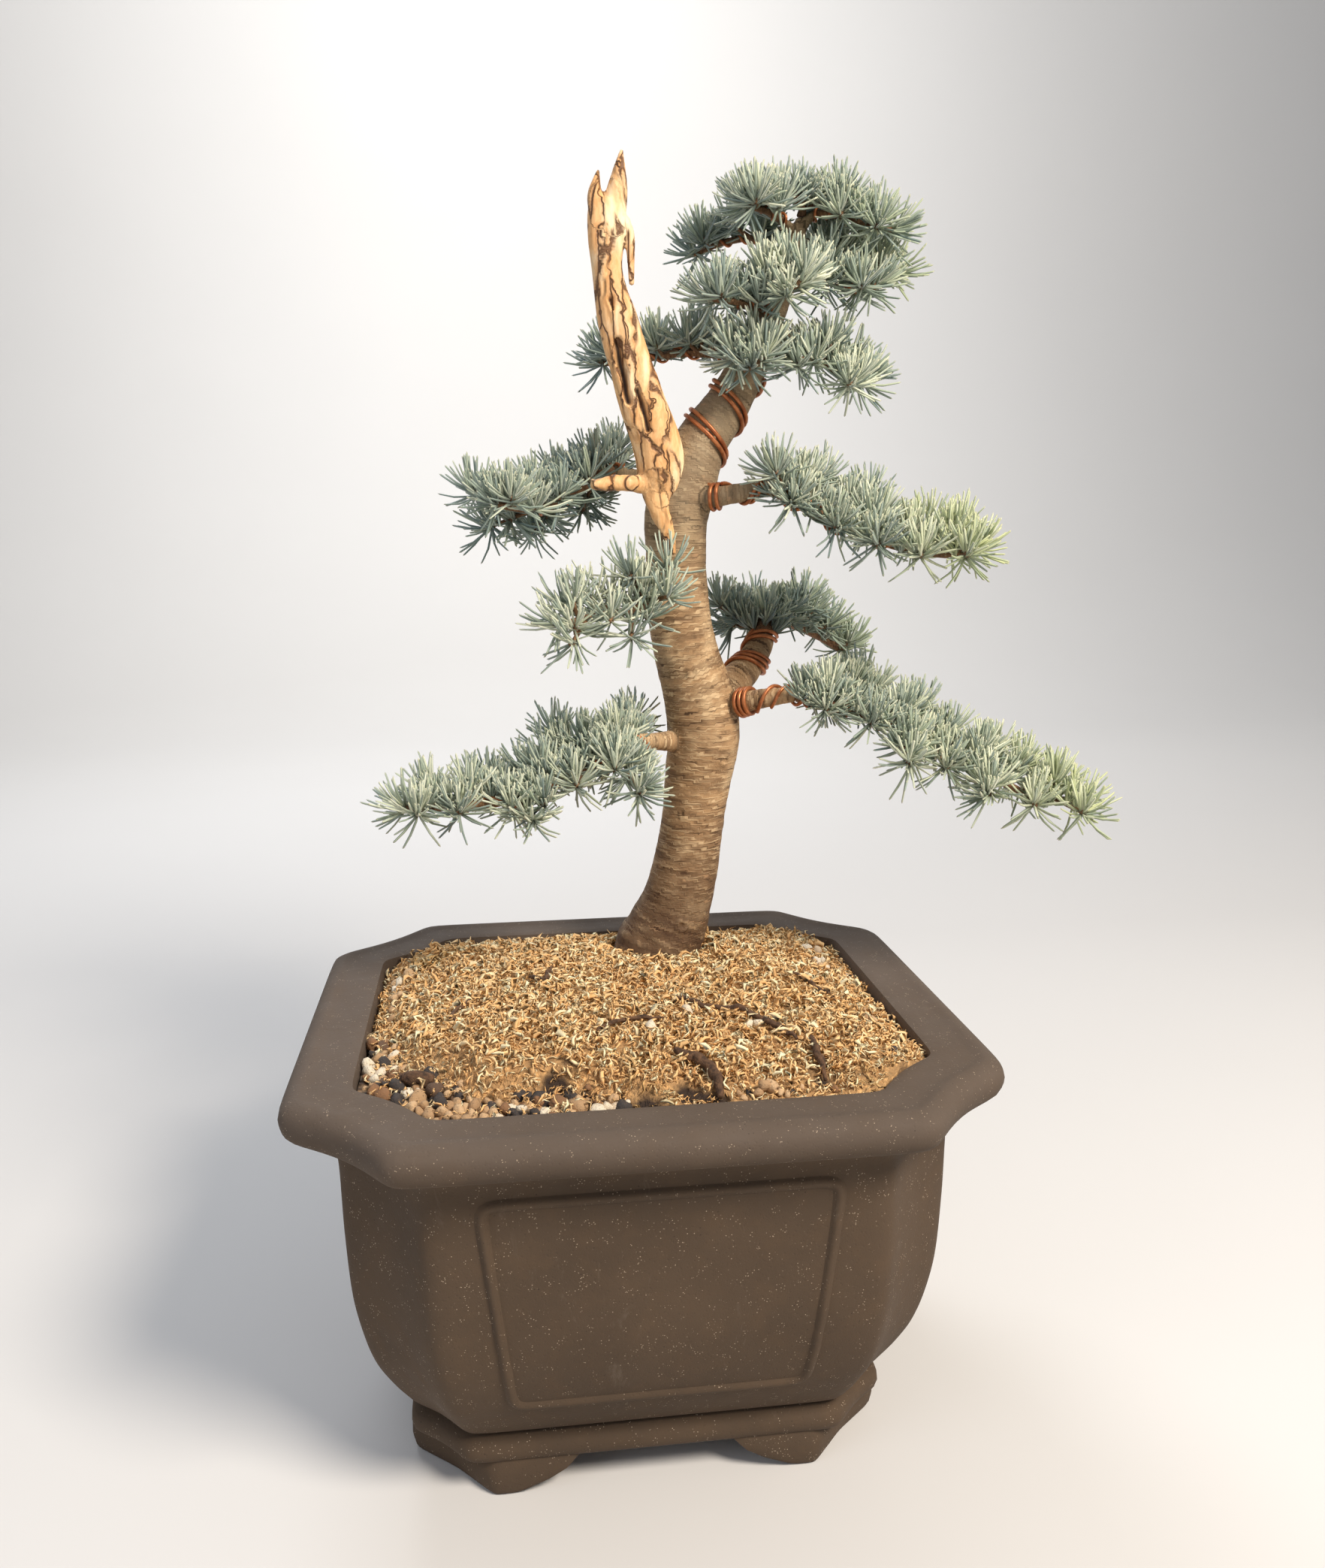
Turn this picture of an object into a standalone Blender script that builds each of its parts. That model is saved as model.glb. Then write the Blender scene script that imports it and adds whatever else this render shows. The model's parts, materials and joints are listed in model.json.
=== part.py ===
"""Blue atlas cedar bonsai in a dark unglazed clay pot: live leader beside a carved deadwood spike,
wired limbs that end in flat sprays of needles, a dressing of chopped moss over gritty soil.

Metres, +Z up. The tree and pot are drawn round the pot's middle, on the surface that it stands on,
and moved at the end so that the middle of the whole bonsai's box lies over the origin.
"""

import math
import random

import bmesh
import bpy
import numpy as np
from mathutils import Vector
from mathutils.bvhtree import BVHTree

# Gap between neighbours, and how far joined shapes are sunk into each other
GAP = 0.0004
SUNK = 0.0012

# A union is built again if points this close together would pinch it, or if it leaves this many loose
WELD = 2e-6
MOST_LOOSE = 12

# Pot: half its width at each height of the wall. Its depth is a little less, its corners are cut.
RIM_HALF = 0.180
RIM_TOP = 0.2205
DEPTH_LESS = 0.010
PLINTH_LESS = 0.0135
PLINTH_HALF = 0.1272
PLINTH_CORNER = 0.0300
RIM_CORNER = 0.0544
PLINTH_HOLLOW = 0.003
RIM_HOLLOW = 0.0065
BASE_UNDERSIDE = 0.018
FLOOR_TOP = 0.030
WALL_OUTSIDE = [
    (0.1200, BASE_UNDERSIDE), (0.1255, 0.0200), (PLINTH_HALF, 0.0245), (0.1258, 0.0300), (0.1205, 0.0330),
    (0.1275, 0.0395), (0.1355, 0.0530), (0.1430, 0.0690), (0.1480, 0.0870), (0.1520, 0.1100),
    (0.1540, 0.1450), (0.1550, 0.1840), (0.1580, 0.1935), (0.1650, 0.1990), (0.1760, 0.2025),
    (RIM_HALF, 0.2110), (0.1785, 0.2180), (0.1745, RIM_TOP), (0.1725, 0.2216), (0.1700, 0.2216),
    (0.1685, RIM_TOP), (0.1490, RIM_TOP), (0.1463, 0.2185),
]
WALL_FROM, WALL_TO = 4, 12
WALL_INSIDE = [
    (0.1455, 0.2050), (0.1440, 0.1400), (0.1390, 0.0850), (0.1270, 0.0500), (0.1020, FLOOR_TOP),
]
DRAIN_RADIUS = 0.011
DRAIN_OFFSET = 0.045

# Bracket feet under the cut corners: (height, length of the arms beside the corner, how far the
# foot swells outwards there)
FOOT_HALF = 0.1245
FOOT_CORNER = 0.0405
FOOT_DEEP = 0.022
FOOT_CURVE = [
    (0.0, 0.010, 0.0000), (0.0022, 0.018, 0.0020), (0.0070, 0.030, 0.0036),
    (0.0125, 0.040, 0.0036), (0.0205, 0.047, 0.0002),
]

# Raised bead that frames a panel on each side of the pot
PANEL_LOW = 0.064
PANEL_HIGH = 0.180
PANEL_HALF_LOW = 0.073
PANEL_HALF_HIGH = 0.086
BEAD_HALF_WIDE = 0.0024
BEAD_PROUD = 0.0016

# Mesh screens that keep the soil in over the drain holes
SCREEN_SIDE = 0.038
SCREEN_THICK = 0.0012
SCREEN_HOLE = 0.008
SCREEN_PITCH = 0.0115

# Soil and the moss over it, with a strip of bare grit along the front left corner
SOIL_TOP = 0.2045
GRIT_TOP = 0.2130
MOSS_EDGE_TOP = 0.2110
MOSS_RISE = 0.0190
MOSS_FLAT = 3.2
MOSS_FRONT_LIFT = 0.0055
GRIT_STRIP = 0.030
TREE_FOOT = (0.026, 0.073)
TREE_HOLE = 0.0312
ROOT_DEPTH = 0.190

# Trunk and leader: (x, y, z, radius), from the root ball to the top of the leader
TRUNK = [
    (0.026, 0.073, ROOT_DEPTH, 0.0220), (0.026, 0.073, 0.2040, 0.0280), (0.026, 0.073, 0.2265, 0.0282),
    (0.030, 0.073, 0.2380, 0.0252), (0.037, 0.073, 0.2560, 0.0222), (0.043, 0.072, 0.2800, 0.0204),
    (0.047, 0.071, 0.3060, 0.0193), (0.051, 0.070, 0.3380, 0.0204), (0.054, 0.068, 0.3640, 0.0222),
    (0.050, 0.067, 0.3900, 0.0210), (0.042, 0.066, 0.4180, 0.0190), (0.038, 0.065, 0.4450, 0.0184),
    (0.037, 0.064, 0.4710, 0.0178), (0.037, 0.063, 0.4930, 0.0186), (0.041, 0.063, 0.5100, 0.0190),
    (0.047, 0.064, 0.5260, 0.0172), (0.055, 0.066, 0.5400, 0.0150), (0.068, 0.069, 0.5570, 0.0132),
    (0.083, 0.072, 0.5830, 0.0112), (0.091, 0.074, 0.6020, 0.0100), (0.101, 0.077, 0.6240, 0.0084),
    (0.109, 0.079, 0.6450, 0.0062), (0.1125, 0.080, 0.6590, 0.0050),
]

# Deadwood spike: (x, y, z, half width, half thickness), its two prongs, splinter, stub and the
# strip of bare wood that runs down the bark
SPIKE = [
    (0.027, 0.056, 0.4980, 0.0080, 0.0080), (0.027, 0.053, 0.5130, 0.0135, 0.0120),
    (0.025, 0.051, 0.5310, 0.0146, 0.0115), (0.017, 0.048, 0.5540, 0.0142, 0.0100),
    (0.009, 0.047, 0.5780, 0.0130, 0.0092), (0.002, 0.046, 0.6020, 0.0114, 0.0085),
    (-0.003, 0.045, 0.6250, 0.0086, 0.0075), (-0.003, 0.045, 0.6480, 0.0108, 0.0066),
    (-0.003, 0.045, 0.6620, 0.0100, 0.0056),
]
PRONG_LEFT = [
    (-0.007, 0.045, 0.6500, 0.0050), (-0.009, 0.045, 0.6640, 0.0046), (-0.007, 0.045, 0.6770, 0.0010),
]
PRONG_RIGHT = [
    (0.001, 0.045, 0.6480, 0.0062), (0.003, 0.045, 0.6680, 0.0058), (0.006, 0.045, 0.6870, 0.0010),
]
SPLINTER = [
    (0.004, 0.045, 0.6550, 0.0030), (0.0095, 0.045, 0.6440, 0.0028), (0.0105, 0.045, 0.6180, 0.0012),
]
STUB = [(0.026, 0.050, 0.5110, 0.0060), (0.004, 0.046, 0.5120, 0.0048), (-0.014, 0.041, 0.5110, 0.0034)]
BARE_STRIP = [
    (0.024, 0.048, 0.5120, 0.0090), (0.025, 0.0475, 0.4980, 0.0066),
    (0.030, 0.0465, 0.4850, 0.0046), (0.034, 0.0470, 0.4720, 0.0020),
]
CARVED = [
    ((0.006, 0.038, 0.560), (0.000, 0.038, 0.592), 0.0030),
    ((0.018, 0.040, 0.545), (0.011, 0.039, 0.566), 0.0024),
]

# Roundness of the bark and the wood, distance between rings along them, share by which they waver
TRUNK_SIDES = 12
SPIKE_SIDES = 10
THICK_LIMB = 0.005
LIMB_SIDES = {True: 7, False: 5}
TRUNK_STEP = 0.017
LIMB_STEP = 0.012
CORE_STEP = 0.015
BARK_WAVER = 0.035
WOOD_WAVER = 0.09
EVEN_RINGS = 5

# Sprays. Each limb's path starts in the trunk; the first `bare` spans are bark, the rest carry
# needles. radii: at the trunk, where the needles start and at the tip. front and back: reach of
# the side twigs next to the trunk and at the tip. lift: how steeply front and back twigs rise.
# step: distance between side twigs. extra: twigs set by hand, as (share of the way out, tip).
SPRAYS = {
    "lower_left": dict(
        path=[(0.040, 0.064, 0.361), (0.020, 0.050, 0.363), (0.009, 0.042, 0.365), (-0.012, 0.032, 0.357),
              (-0.036, 0.024, 0.346), (-0.064, 0.018, 0.337), (-0.094, 0.013, 0.335), (-0.122, 0.009, 0.336)],
        bare=2, radii=(0.0070, 0.0042, 0.0018), front=(0.028, 0.010), back=(0.046, 0.014),
        lift=(-0.10, 0.30), step=0.021,
        extra=[(0.10, (0.007, 0.001, 0.342)), (0.12, (0.012, 0.086, 0.371)),
               (0.55, (-0.053, -0.006, 0.330))],
    ),
    "lower_right": dict(
        path=[(0.066, 0.064, 0.381), (0.083, 0.047, 0.387), (0.104, 0.038, 0.390), (0.125, 0.030, 0.384),
              (0.154, 0.020, 0.374), (0.180, 0.010, 0.359), (0.206, 0.000, 0.347), (0.232, -0.009, 0.335),
              (0.254, -0.016, 0.333)],
        bare=2, radii=(0.0080, 0.0044, 0.0018), front=(0.014, 0.026), back=(0.040, 0.024),
        lift=(-0.10, 0.30), step=0.022,
        extra=[(0.36, (0.157, -0.014, 0.357)), (0.66, (0.198, -0.028, 0.341)), (0.10, (0.150, 0.062, 0.396))],
    ),
    "back_right": dict(
        path=[(0.054, 0.068, 0.372), (0.074, 0.082, 0.392), (0.088, 0.094, 0.404), (0.098, 0.106, 0.418),
              (0.104, 0.123, 0.428), (0.120, 0.138, 0.428), (0.143, 0.149, 0.418), (0.162, 0.155, 0.406)],
        bare=3, radii=(0.0130, 0.0080, 0.0018), front=(0.030, 0.012), back=(0.034, 0.014),
        lift=(0.20, 0.40), step=0.020, extra=[(0.02, (0.080, 0.128, 0.426)), (0.05, (0.086, 0.150, 0.436))],
    ),
    "mid_left": dict(
        path=[(0.034, 0.062, 0.444), (0.024, 0.044, 0.446), (0.019, 0.036, 0.446), (0.008, 0.024, 0.442),
              (-0.012, 0.012, 0.440), (-0.036, 0.001, 0.436)],
        bare=2, radii=(0.0050, 0.0030, 0.0016), front=(0.014, 0.008), back=(0.022, 0.014),
        lift=(-0.30, 0.40), step=0.020,
        extra=[(0.06, (0.025, 0.014, 0.450)), (0.06, (0.005, 0.020, 0.462)), (0.06, (0.028, 0.028, 0.466)),
               (0.30, (0.004, 0.005, 0.428)), (0.72, (-0.030, -0.006, 0.426))],
    ),
    "upper_left": dict(
        path=[(0.036, 0.070, 0.508), (0.020, 0.088, 0.515), (0.005, 0.092, 0.519), (-0.009, 0.088, 0.516),
              (-0.028, 0.078, 0.506), (-0.044, 0.066, 0.499), (-0.058, 0.050, 0.499), (-0.068, 0.036, 0.501)],
        bare=2, radii=(0.0075, 0.0052, 0.0020), front=(0.018, 0.012), back=(0.034, 0.022),
        lift=(0.10, 0.20), step=0.021,
        extra=[(0.02, (0.020, 0.112, 0.531)), (0.05, (0.006, 0.112, 0.533)), (0.60, (-0.072, 0.076, 0.488)),
               (0.40, (-0.046, 0.100, 0.486)), (0.15, (-0.014, 0.118, 0.498))],
    ),
    "upper_right": dict(
        path=[(0.042, 0.062, 0.505), (0.054, 0.049, 0.504), (0.069, 0.042, 0.506), (0.089, 0.036, 0.508),
              (0.105, 0.030, 0.499), (0.121, 0.024, 0.489), (0.141, 0.016, 0.481), (0.160, 0.008, 0.474),
              (0.179, 0.002, 0.471), (0.193, -0.003, 0.474)],
        bare=3, radii=(0.0070, 0.0046, 0.0018), front=(0.012, 0.018), back=(0.042, 0.026),
        lift=(-0.10, 0.50), step=0.021, extra=[(0.08, (0.087, 0.022, 0.517)), (0.10, (0.085, 0.056, 0.522))],
    ),
    "crown_left_row": dict(
        path=[(0.086, 0.076, 0.585), (0.076, 0.084, 0.587), (0.068, 0.088, 0.588), (0.049, 0.095, 0.590),
              (0.027, 0.100, 0.587), (-0.001, 0.105, 0.584)],
        bare=2, radii=(0.0045, 0.0033, 0.0016), front=(0.010, 0.012), back=(0.022, 0.014),
        lift=(0.50, 0.35), step=0.020, extra=[],
    ),
    "crown_front_low": dict(
        path=[(0.085, 0.070, 0.586), (0.082, 0.058, 0.583), (0.076, 0.040, 0.575)],
        bare=1, radii=(0.0032, 0.0026, 0.0016), front=(0.012, 0.010), back=(0.016, 0.012),
        lift=(0.40, 0.50), step=0.018, extra=[],
    ),
    "crown_right_low": dict(
        path=[(0.095, 0.074, 0.595), (0.106, 0.070, 0.595), (0.115, 0.066, 0.591), (0.125, 0.060, 0.578),
              (0.134, 0.056, 0.571), (0.142, 0.054, 0.569)],
        bare=2, radii=(0.0045, 0.0030, 0.0016), front=(0.014, 0.012), back=(0.024, 0.018),
        lift=(-0.20, 0.50), step=0.018,
        extra=[(0.06, (0.104, 0.046, 0.577)), (0.06, (0.124, 0.078, 0.600)), (0.05, (0.112, 0.084, 0.606))],
    ),
    "crown_mid_left": dict(
        path=[(0.097, 0.074, 0.616), (0.090, 0.060, 0.610), (0.084, 0.054, 0.608), (0.070, 0.050, 0.611),
              (0.056, 0.050, 0.612)],
        bare=1, radii=(0.0040, 0.0028, 0.0016), front=(0.010, 0.008), back=(0.020, 0.012),
        lift=(0.10, 0.50), step=0.018, extra=[],
    ),
    "crown_outer_left": dict(
        path=[(0.104, 0.080, 0.640), (0.097, 0.098, 0.652), (0.088, 0.108, 0.658), (0.073, 0.114, 0.656),
              (0.058, 0.115, 0.650)],
        bare=1, radii=(0.0040, 0.0028, 0.0016), front=(0.012, 0.012), back=(0.016, 0.014),
        lift=(0.20, 0.30), step=0.020, extra=[],
    ),
    "crown_top_left": dict(
        path=[(0.111, 0.080, 0.653), (0.103, 0.075, 0.659), (0.094, 0.070, 0.663), (0.080, 0.065, 0.665)],
        bare=1, radii=(0.0034, 0.0026, 0.0016), front=(0.012, 0.008), back=(0.018, 0.012),
        lift=(0.10, 0.60), step=0.017, extra=[],
    ),
    "crown_front": dict(
        path=[(0.101, 0.076, 0.630), (0.099, 0.060, 0.624), (0.097, 0.046, 0.619), (0.095, 0.035, 0.613)],
        bare=1, radii=(0.0034, 0.0026, 0.0016), front=(0.014, 0.010), back=(0.016, 0.012),
        lift=(0.50, 0.40), step=0.017, extra=[],
    ),
    "crown_right_upper": dict(
        path=[(0.1115, 0.080, 0.655), (0.120, 0.076, 0.664), (0.128, 0.071, 0.664), (0.142, 0.065, 0.659),
              (0.159, 0.059, 0.653)],
        bare=1, radii=(0.0034, 0.0026, 0.0014), front=(0.012, 0.008), back=(0.022, 0.010),
        lift=(-0.10, 0.40), step=0.018, extra=[],
    ),
    "crown_right_mid": dict(
        path=[(0.109, 0.080, 0.650), (0.122, 0.088, 0.651), (0.136, 0.091, 0.649), (0.150, 0.086, 0.643),
              (0.168, 0.077, 0.634)],
        bare=1, radii=(0.0036, 0.0028, 0.0014), front=(0.012, 0.008), back=(0.022, 0.012),
        lift=(0.00, 0.10), step=0.019, extra=[],
    ),
    "crown_right_back": dict(
        path=[(0.104, 0.079, 0.634), (0.115, 0.076, 0.632), (0.126, 0.068, 0.628), (0.139, 0.062, 0.624),
              (0.151, 0.059, 0.622)],
        bare=1, radii=(0.0038, 0.0030, 0.0015), front=(0.012, 0.008), back=(0.022, 0.014),
        lift=(-0.20, -0.10), step=0.019, extra=[],
    ),
    "crown_apex": dict(
        path=[(0.1100, 0.0795, 0.648), (0.1135, 0.080, 0.6640), (0.115, 0.080, 0.671)],
        bare=1, radii=(0.0028, 0.0030, 0.0018), front=(0.009, 0.009), back=(0.009, 0.009),
        lift=(0.20, 0.20), step=0.009, extra=[],
    ),
}

# Side twigs and the buds on them, whose faces are drawn out into three-sided needles
TWIG_SIDES = 5
TWIG_RADIUS = 0.0017
NECK_RADIUS = 0.0012
BUD_RADIUS = 0.0021
BUD_LONG = 0.0036
BUD_POINT = 0.0016
BUD_LEANS = (98, 64, 28)
HALFWAY_LEANS = (92, 72)
HALFWAY_LONG = 0.0032
LONG_TWIG = 0.028
SPUR = 0.010
SPUR_EVERY = 2
TIP_TWIG = 0.004
BUD_RISE = 0.55
NEEDLE_RISE = 0.30
NEEDLE_LONG = 0.0215
NEEDLE_BASE = 0.0016
CLEARANCE = 0.0005
OWN_TWIGS_FROM = 0.4
SAME_BUD_FROM = 0.3
SEED = 11
TRIES = 6

# How a twig's length varies, how far it sweeps forward, where it may be moved to along its limb,
# and how much thinner than its limb it is
TWIG_REACH = (0.85, 1.12)
TWIG_SWEEP = (0.35, 0.75)
TWIG_SHIFTS = [0] + [way * 0.001 * i for i in range(1, 9) for way in (1, -1)]
TWIG_SHARE = 0.72
FLAT_RISE = 0.1

# How a needle's lean and length vary, how often and by how much it is bent clear, and at how many
# places along it the room round it is measured
NEEDLE_LEAN = 8
NEEDLE_VARY = (0.86, 1.05)
BENDS = 7
BEND = 0.3
PLACES = 18

# Training wire: (what it is wound on, start and end along that path, pitch and which way it turns,
# wire radius, where along the path it crosses the side at `face` degrees)
WIRES = {
    "wire_leader_left": ("leader", 0.3525, 0.4035, 0.0240, 1, 0.00125, 0.3590, 0),
    "wire_leader_right": ("leader", 0.3485, 0.3995, 0.0240, 1, 0.00125, 0.3550, 0),
    "wire_back_right_outer": ("back_right", 0.0345, 0.0780, 0.0232, -1, 0.00125, 0.0515, 45),
    "wire_back_right_inner": ("back_right", 0.0300, 0.0740, 0.0232, -1, 0.00125, 0.0475, 45),
    "wire_lower_right": ("lower_right", 0.0230, 0.1500, 0.0250, 1, 0.00110, 0.0296, 0),
    "wire_lower_left": ("lower_left", 0.0290, 0.1680, 0.0300, -1, 0.00110, 0.1255, 180),
    "wire_upper_right": ("upper_right", 0.0240, 0.1300, 0.0280, 1, 0.00110, 0.0456, 0),
    "wire_upper_left": ("upper_left", 0.0380, 0.1080, 0.0240, -1, 0.00110, 0.0750, 270),
    "wire_crown_left": ("crown_left_row", 0.0160, 0.0700, 0.0190, -1, 0.00090, 0.0437, 180),
    "wire_crown_right": ("crown_right_low", 0.0125, 0.0480, 0.0180, 1, 0.00090, 0.0200, 0),
}
WIRE_SIDES = 3
WIRE_THICKEST = 0.00125
WIRE_STEPS_A_TURN = 7

# The leader's flat-sided bark is this share of its girth where the wire lies on it
LEADER_SHARE = 0.965


def unit(v):
    return np.asarray(v, float) / np.linalg.norm(v)


def remove_everything():
    for thing in list(bpy.data.objects):
        bpy.data.objects.remove(thing, do_unlink=True)


def material(name, colour, roughness, metallic=0.0):
    made = bpy.data.materials.new(name)
    made.use_nodes = True
    shader = made.node_tree.nodes["Principled BSDF"]
    shader.inputs["Base Color"].default_value = (*colour, 1.0)
    shader.inputs["Roughness"].default_value = roughness
    shader.inputs["Metallic"].default_value = metallic
    return made


def solid(name, points, faces, finish=None, smooth=False):
    """A closed mesh object with its faces turned outwards."""
    mesh = bpy.data.meshes.new(name)
    mesh.from_pydata([tuple(map(float, p)) for p in points], [], faces)
    build = bmesh.new()
    build.from_mesh(mesh)
    bmesh.ops.recalc_face_normals(build, faces=build.faces)
    build.to_mesh(mesh)
    build.free()
    if smooth:
        mesh.shade_smooth()
        mesh.set_sharp_from_angle(angle=math.radians(40))
    made = bpy.data.objects.new(name, mesh)
    if finish:
        mesh.materials.append(finish)
    bpy.context.scene.collection.objects.link(made)
    return made


def loft(rings):
    """Points and faces of a closed body through rings of equally many points, capped at both ends."""
    count = len(rings[0])
    points = [p for ring in rings for p in ring]
    faces = [tuple(reversed(range(count)))]
    for level in range(len(rings) - 1):
        low, high = level * count, (level + 1) * count
        faces += [(low + i, low + (i + 1) % count, high + (i + 1) % count, high + i) for i in range(count)]
    faces.append(tuple(range(len(points) - count, len(points))))
    return points, faces


def joined(base, others, operation="UNION", solver="EXACT"):
    """Base with the others joined to it or cut from it, applied, and the others removed."""
    helpers = bpy.data.collections.new("helpers")
    bpy.context.scene.collection.children.link(helpers)
    for other in others:
        bpy.context.scene.collection.objects.unlink(other)
        helpers.objects.link(other)
    boolean = base.modifiers.new("joined", "BOOLEAN")
    boolean.operation = operation
    boolean.solver = solver
    boolean.operand_type = "COLLECTION"
    boolean.collection = helpers
    graph = bpy.context.evaluated_depsgraph_get()
    result = bpy.data.meshes.new_from_object(base.evaluated_get(graph))
    base.modifiers.remove(boolean)
    base.data = result
    for other in others:
        bpy.data.objects.remove(other, do_unlink=True)
    bpy.data.collections.remove(helpers)
    return base


def smooth_path(knots, spacing):
    """Even points on a Catmull-Rom curve through the knots, which may carry radii after x, y, z."""
    knots = np.array(knots, float)
    padded = np.vstack([2 * knots[0] - knots[1], knots, 2 * knots[-1] - knots[-2]])
    fine = []
    for a, b, c, d in zip(padded, padded[1:], padded[2:], padded[3:]):
        for t in np.linspace(0, 1, 12, endpoint=False):
            bend = (2 * a - 5 * b + 4 * c - d) * t**2 + (3 * b - a - 3 * c + d) * t**3
            fine.append(0.5 * (2 * b + (c - a) * t + bend))
    fine = np.array(fine + [knots[-1]])
    along = np.concatenate([[0], np.cumsum(np.linalg.norm(np.diff(fine[:, :3], axis=0), axis=1))])
    stops = np.linspace(0, along[-1], max(2, round(along[-1] / spacing) + 1))
    return np.stack([np.interp(stops, along, fine[:, k]) for k in range(fine.shape[1])], axis=1)


class Path:
    """A smooth centre line that can be read at any distance from its start."""

    def __init__(self, knots):
        self.points = smooth_path([k[:3] for k in knots], 0.002)
        steps = np.linalg.norm(np.diff(self.points, axis=0), axis=1)
        self.along = np.concatenate([[0], np.cumsum(steps)])
        self.length = self.along[-1]
        self.knots = [
            self.along[np.argmin(np.linalg.norm(self.points - np.array(k[:3]), axis=1))] for k in knots
        ]

    def at(self, s):
        return np.array([np.interp(s, self.along, self.points[:, k]) for k in range(3)])

    def heading(self, s):
        return unit(self.at(min(s + 0.0015, self.length)) - self.at(max(s - 0.0015, 0)))

    def across(self, s):
        """Unit vectors at right angles to the path: one to the side, one as near to up as it can be."""
        heading = self.heading(s)
        lean = np.array([0.0, 0.0, 1.0]) if abs(heading[2]) < 0.9 else np.array([0.0, -1.0, 0.0])
        above = unit(lean - heading * (lean @ heading))
        return np.cross(heading, above), above


def ring(centre, side, above, half_wide, half_high, sides, turn=0.0):
    angles = [turn + 2 * math.pi * i / sides for i in range(sides)]
    return [centre + side * math.cos(a) * half_wide + above * math.sin(a) * half_high for a in angles]


def tube(name, path, start, end, radius_at, sides, spacing, finish=None):
    """A closed round bar along part of a path."""
    stops = np.linspace(start, end, max(2, round((end - start) / spacing) + 1))
    rings = []
    for s in stops:
        side, above = path.across(s)
        rings.append(ring(path.at(s), side, above, radius_at(s), radius_at(s), sides, 0.4))
    return solid(name, *loft(rings), finish, smooth=True)


def tapered(name, knots, sides, flatten=1.0, finish=None):
    """A closed bar through knots of (x, y, z, radius), its rings kept level with the y axis."""
    rings = []
    places = np.array(knots, float)
    for i, knot in enumerate(places):
        heading = unit(places[min(i + 1, len(places) - 1), :3] - places[max(i - 1, 0), :3])
        depth = unit(np.array([0.0, 1.0, 0.0]) - heading * heading[1])
        side = np.cross(depth, heading)
        rings.append(ring(knot[:3], side, depth, knot[3], knot[3] * flatten, sides, 0.3))
    return solid(name, *loft(rings), finish)


def depth_less(half):
    """How much less deep than wide the pot is, each way from its middle: most at the plinth."""
    return float(np.interp(half, [PLINTH_HALF, 0.148], [PLINTH_LESS, DEPTH_LESS]))


def plan(half, z, inset=0.0):
    """The pot's outline at one height: a rectangle whose cut corners are hollow, inset by so much."""
    half_deep = half - depth_less(half)
    share = (half - PLINTH_HALF) / (RIM_HALF - PLINTH_HALF)
    corner = PLINTH_CORNER + share * (RIM_CORNER - PLINTH_CORNER)
    hollow = PLINTH_HOLLOW + share * (RIM_HOLLOW - PLINTH_HOLLOW)
    half, half_deep = half - inset, half_deep - inset
    points = []
    for sx, sy in ((1, -1), (1, 1), (-1, 1), (-1, -1)):
        first = np.array([sx * (half - corner), sy * half_deep])
        last = np.array([sx * half, sy * (half_deep - corner)])
        if sx * sy > 0:
            first, last = last, first
        inwards = unit([-sx, -sy])
        for t in (0.0, 0.25, 0.5, 0.75, 1.0):
            pulled = inwards * hollow * (1 - (2 * t - 1) ** 2)
            points.append((*(first + (last - first) * t + pulled), z))
    return points


def wall_half(z):
    wall = WALL_OUTSIDE[WALL_FROM:WALL_TO]
    return float(np.interp(z, [level[1] for level in wall], [level[0] for level in wall]))


def panel_bead(turn, nearer, narrower):
    """The raised frame on one side; turn is its angle round Z, nearer 1 on the closer walls."""
    levels = [z for _, z in WALL_OUTSIDE[WALL_FROM:WALL_TO] if PANEL_LOW < z < PANEL_HIGH]
    heights = [PANEL_LOW] + levels + [PANEL_HIGH]

    def distance(z):
        return wall_half(z) - nearer * depth_less(wall_half(z))

    def frame_line(grow, proud):
        line = []
        for z in heights:
            share = (z - PANEL_LOW) / (PANEL_HIGH - PANEL_LOW)
            half = PANEL_HALF_LOW + share * (PANEL_HALF_HIGH - PANEL_HALF_LOW) - narrower + grow
            z += grow if z == PANEL_HIGH else -grow if z == PANEL_LOW else 0
            slope = (distance(z + 0.002) - distance(z - 0.002)) / 0.004
            out = unit([1.0, -slope])
            line.append((half, distance(z) + out[0] * proud, z + out[1] * proud))
        loop = line + [(-x, y, z) for x, y, z in reversed(line)]
        c, s = math.cos(turn), math.sin(turn)
        return [(x * c + y * s, x * s - y * c, z) for x, y, z in loop]

    loops = [
        frame_line(BEAD_HALF_WIDE, -SUNK), frame_line(BEAD_HALF_WIDE * 0.5, BEAD_PROUD),
        frame_line(-BEAD_HALF_WIDE * 0.5, BEAD_PROUD), frame_line(-BEAD_HALF_WIDE, -SUNK),
    ]
    count = len(loops[0])
    faces = []
    for a in range(4):
        b = (a + 1) % 4
        faces += [
            (a * count + i, a * count + (i + 1) % count, b * count + (i + 1) % count, b * count + i)
            for i in range(count)
        ]
    return solid("bead", [p for loop in loops for p in loop], faces)


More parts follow.
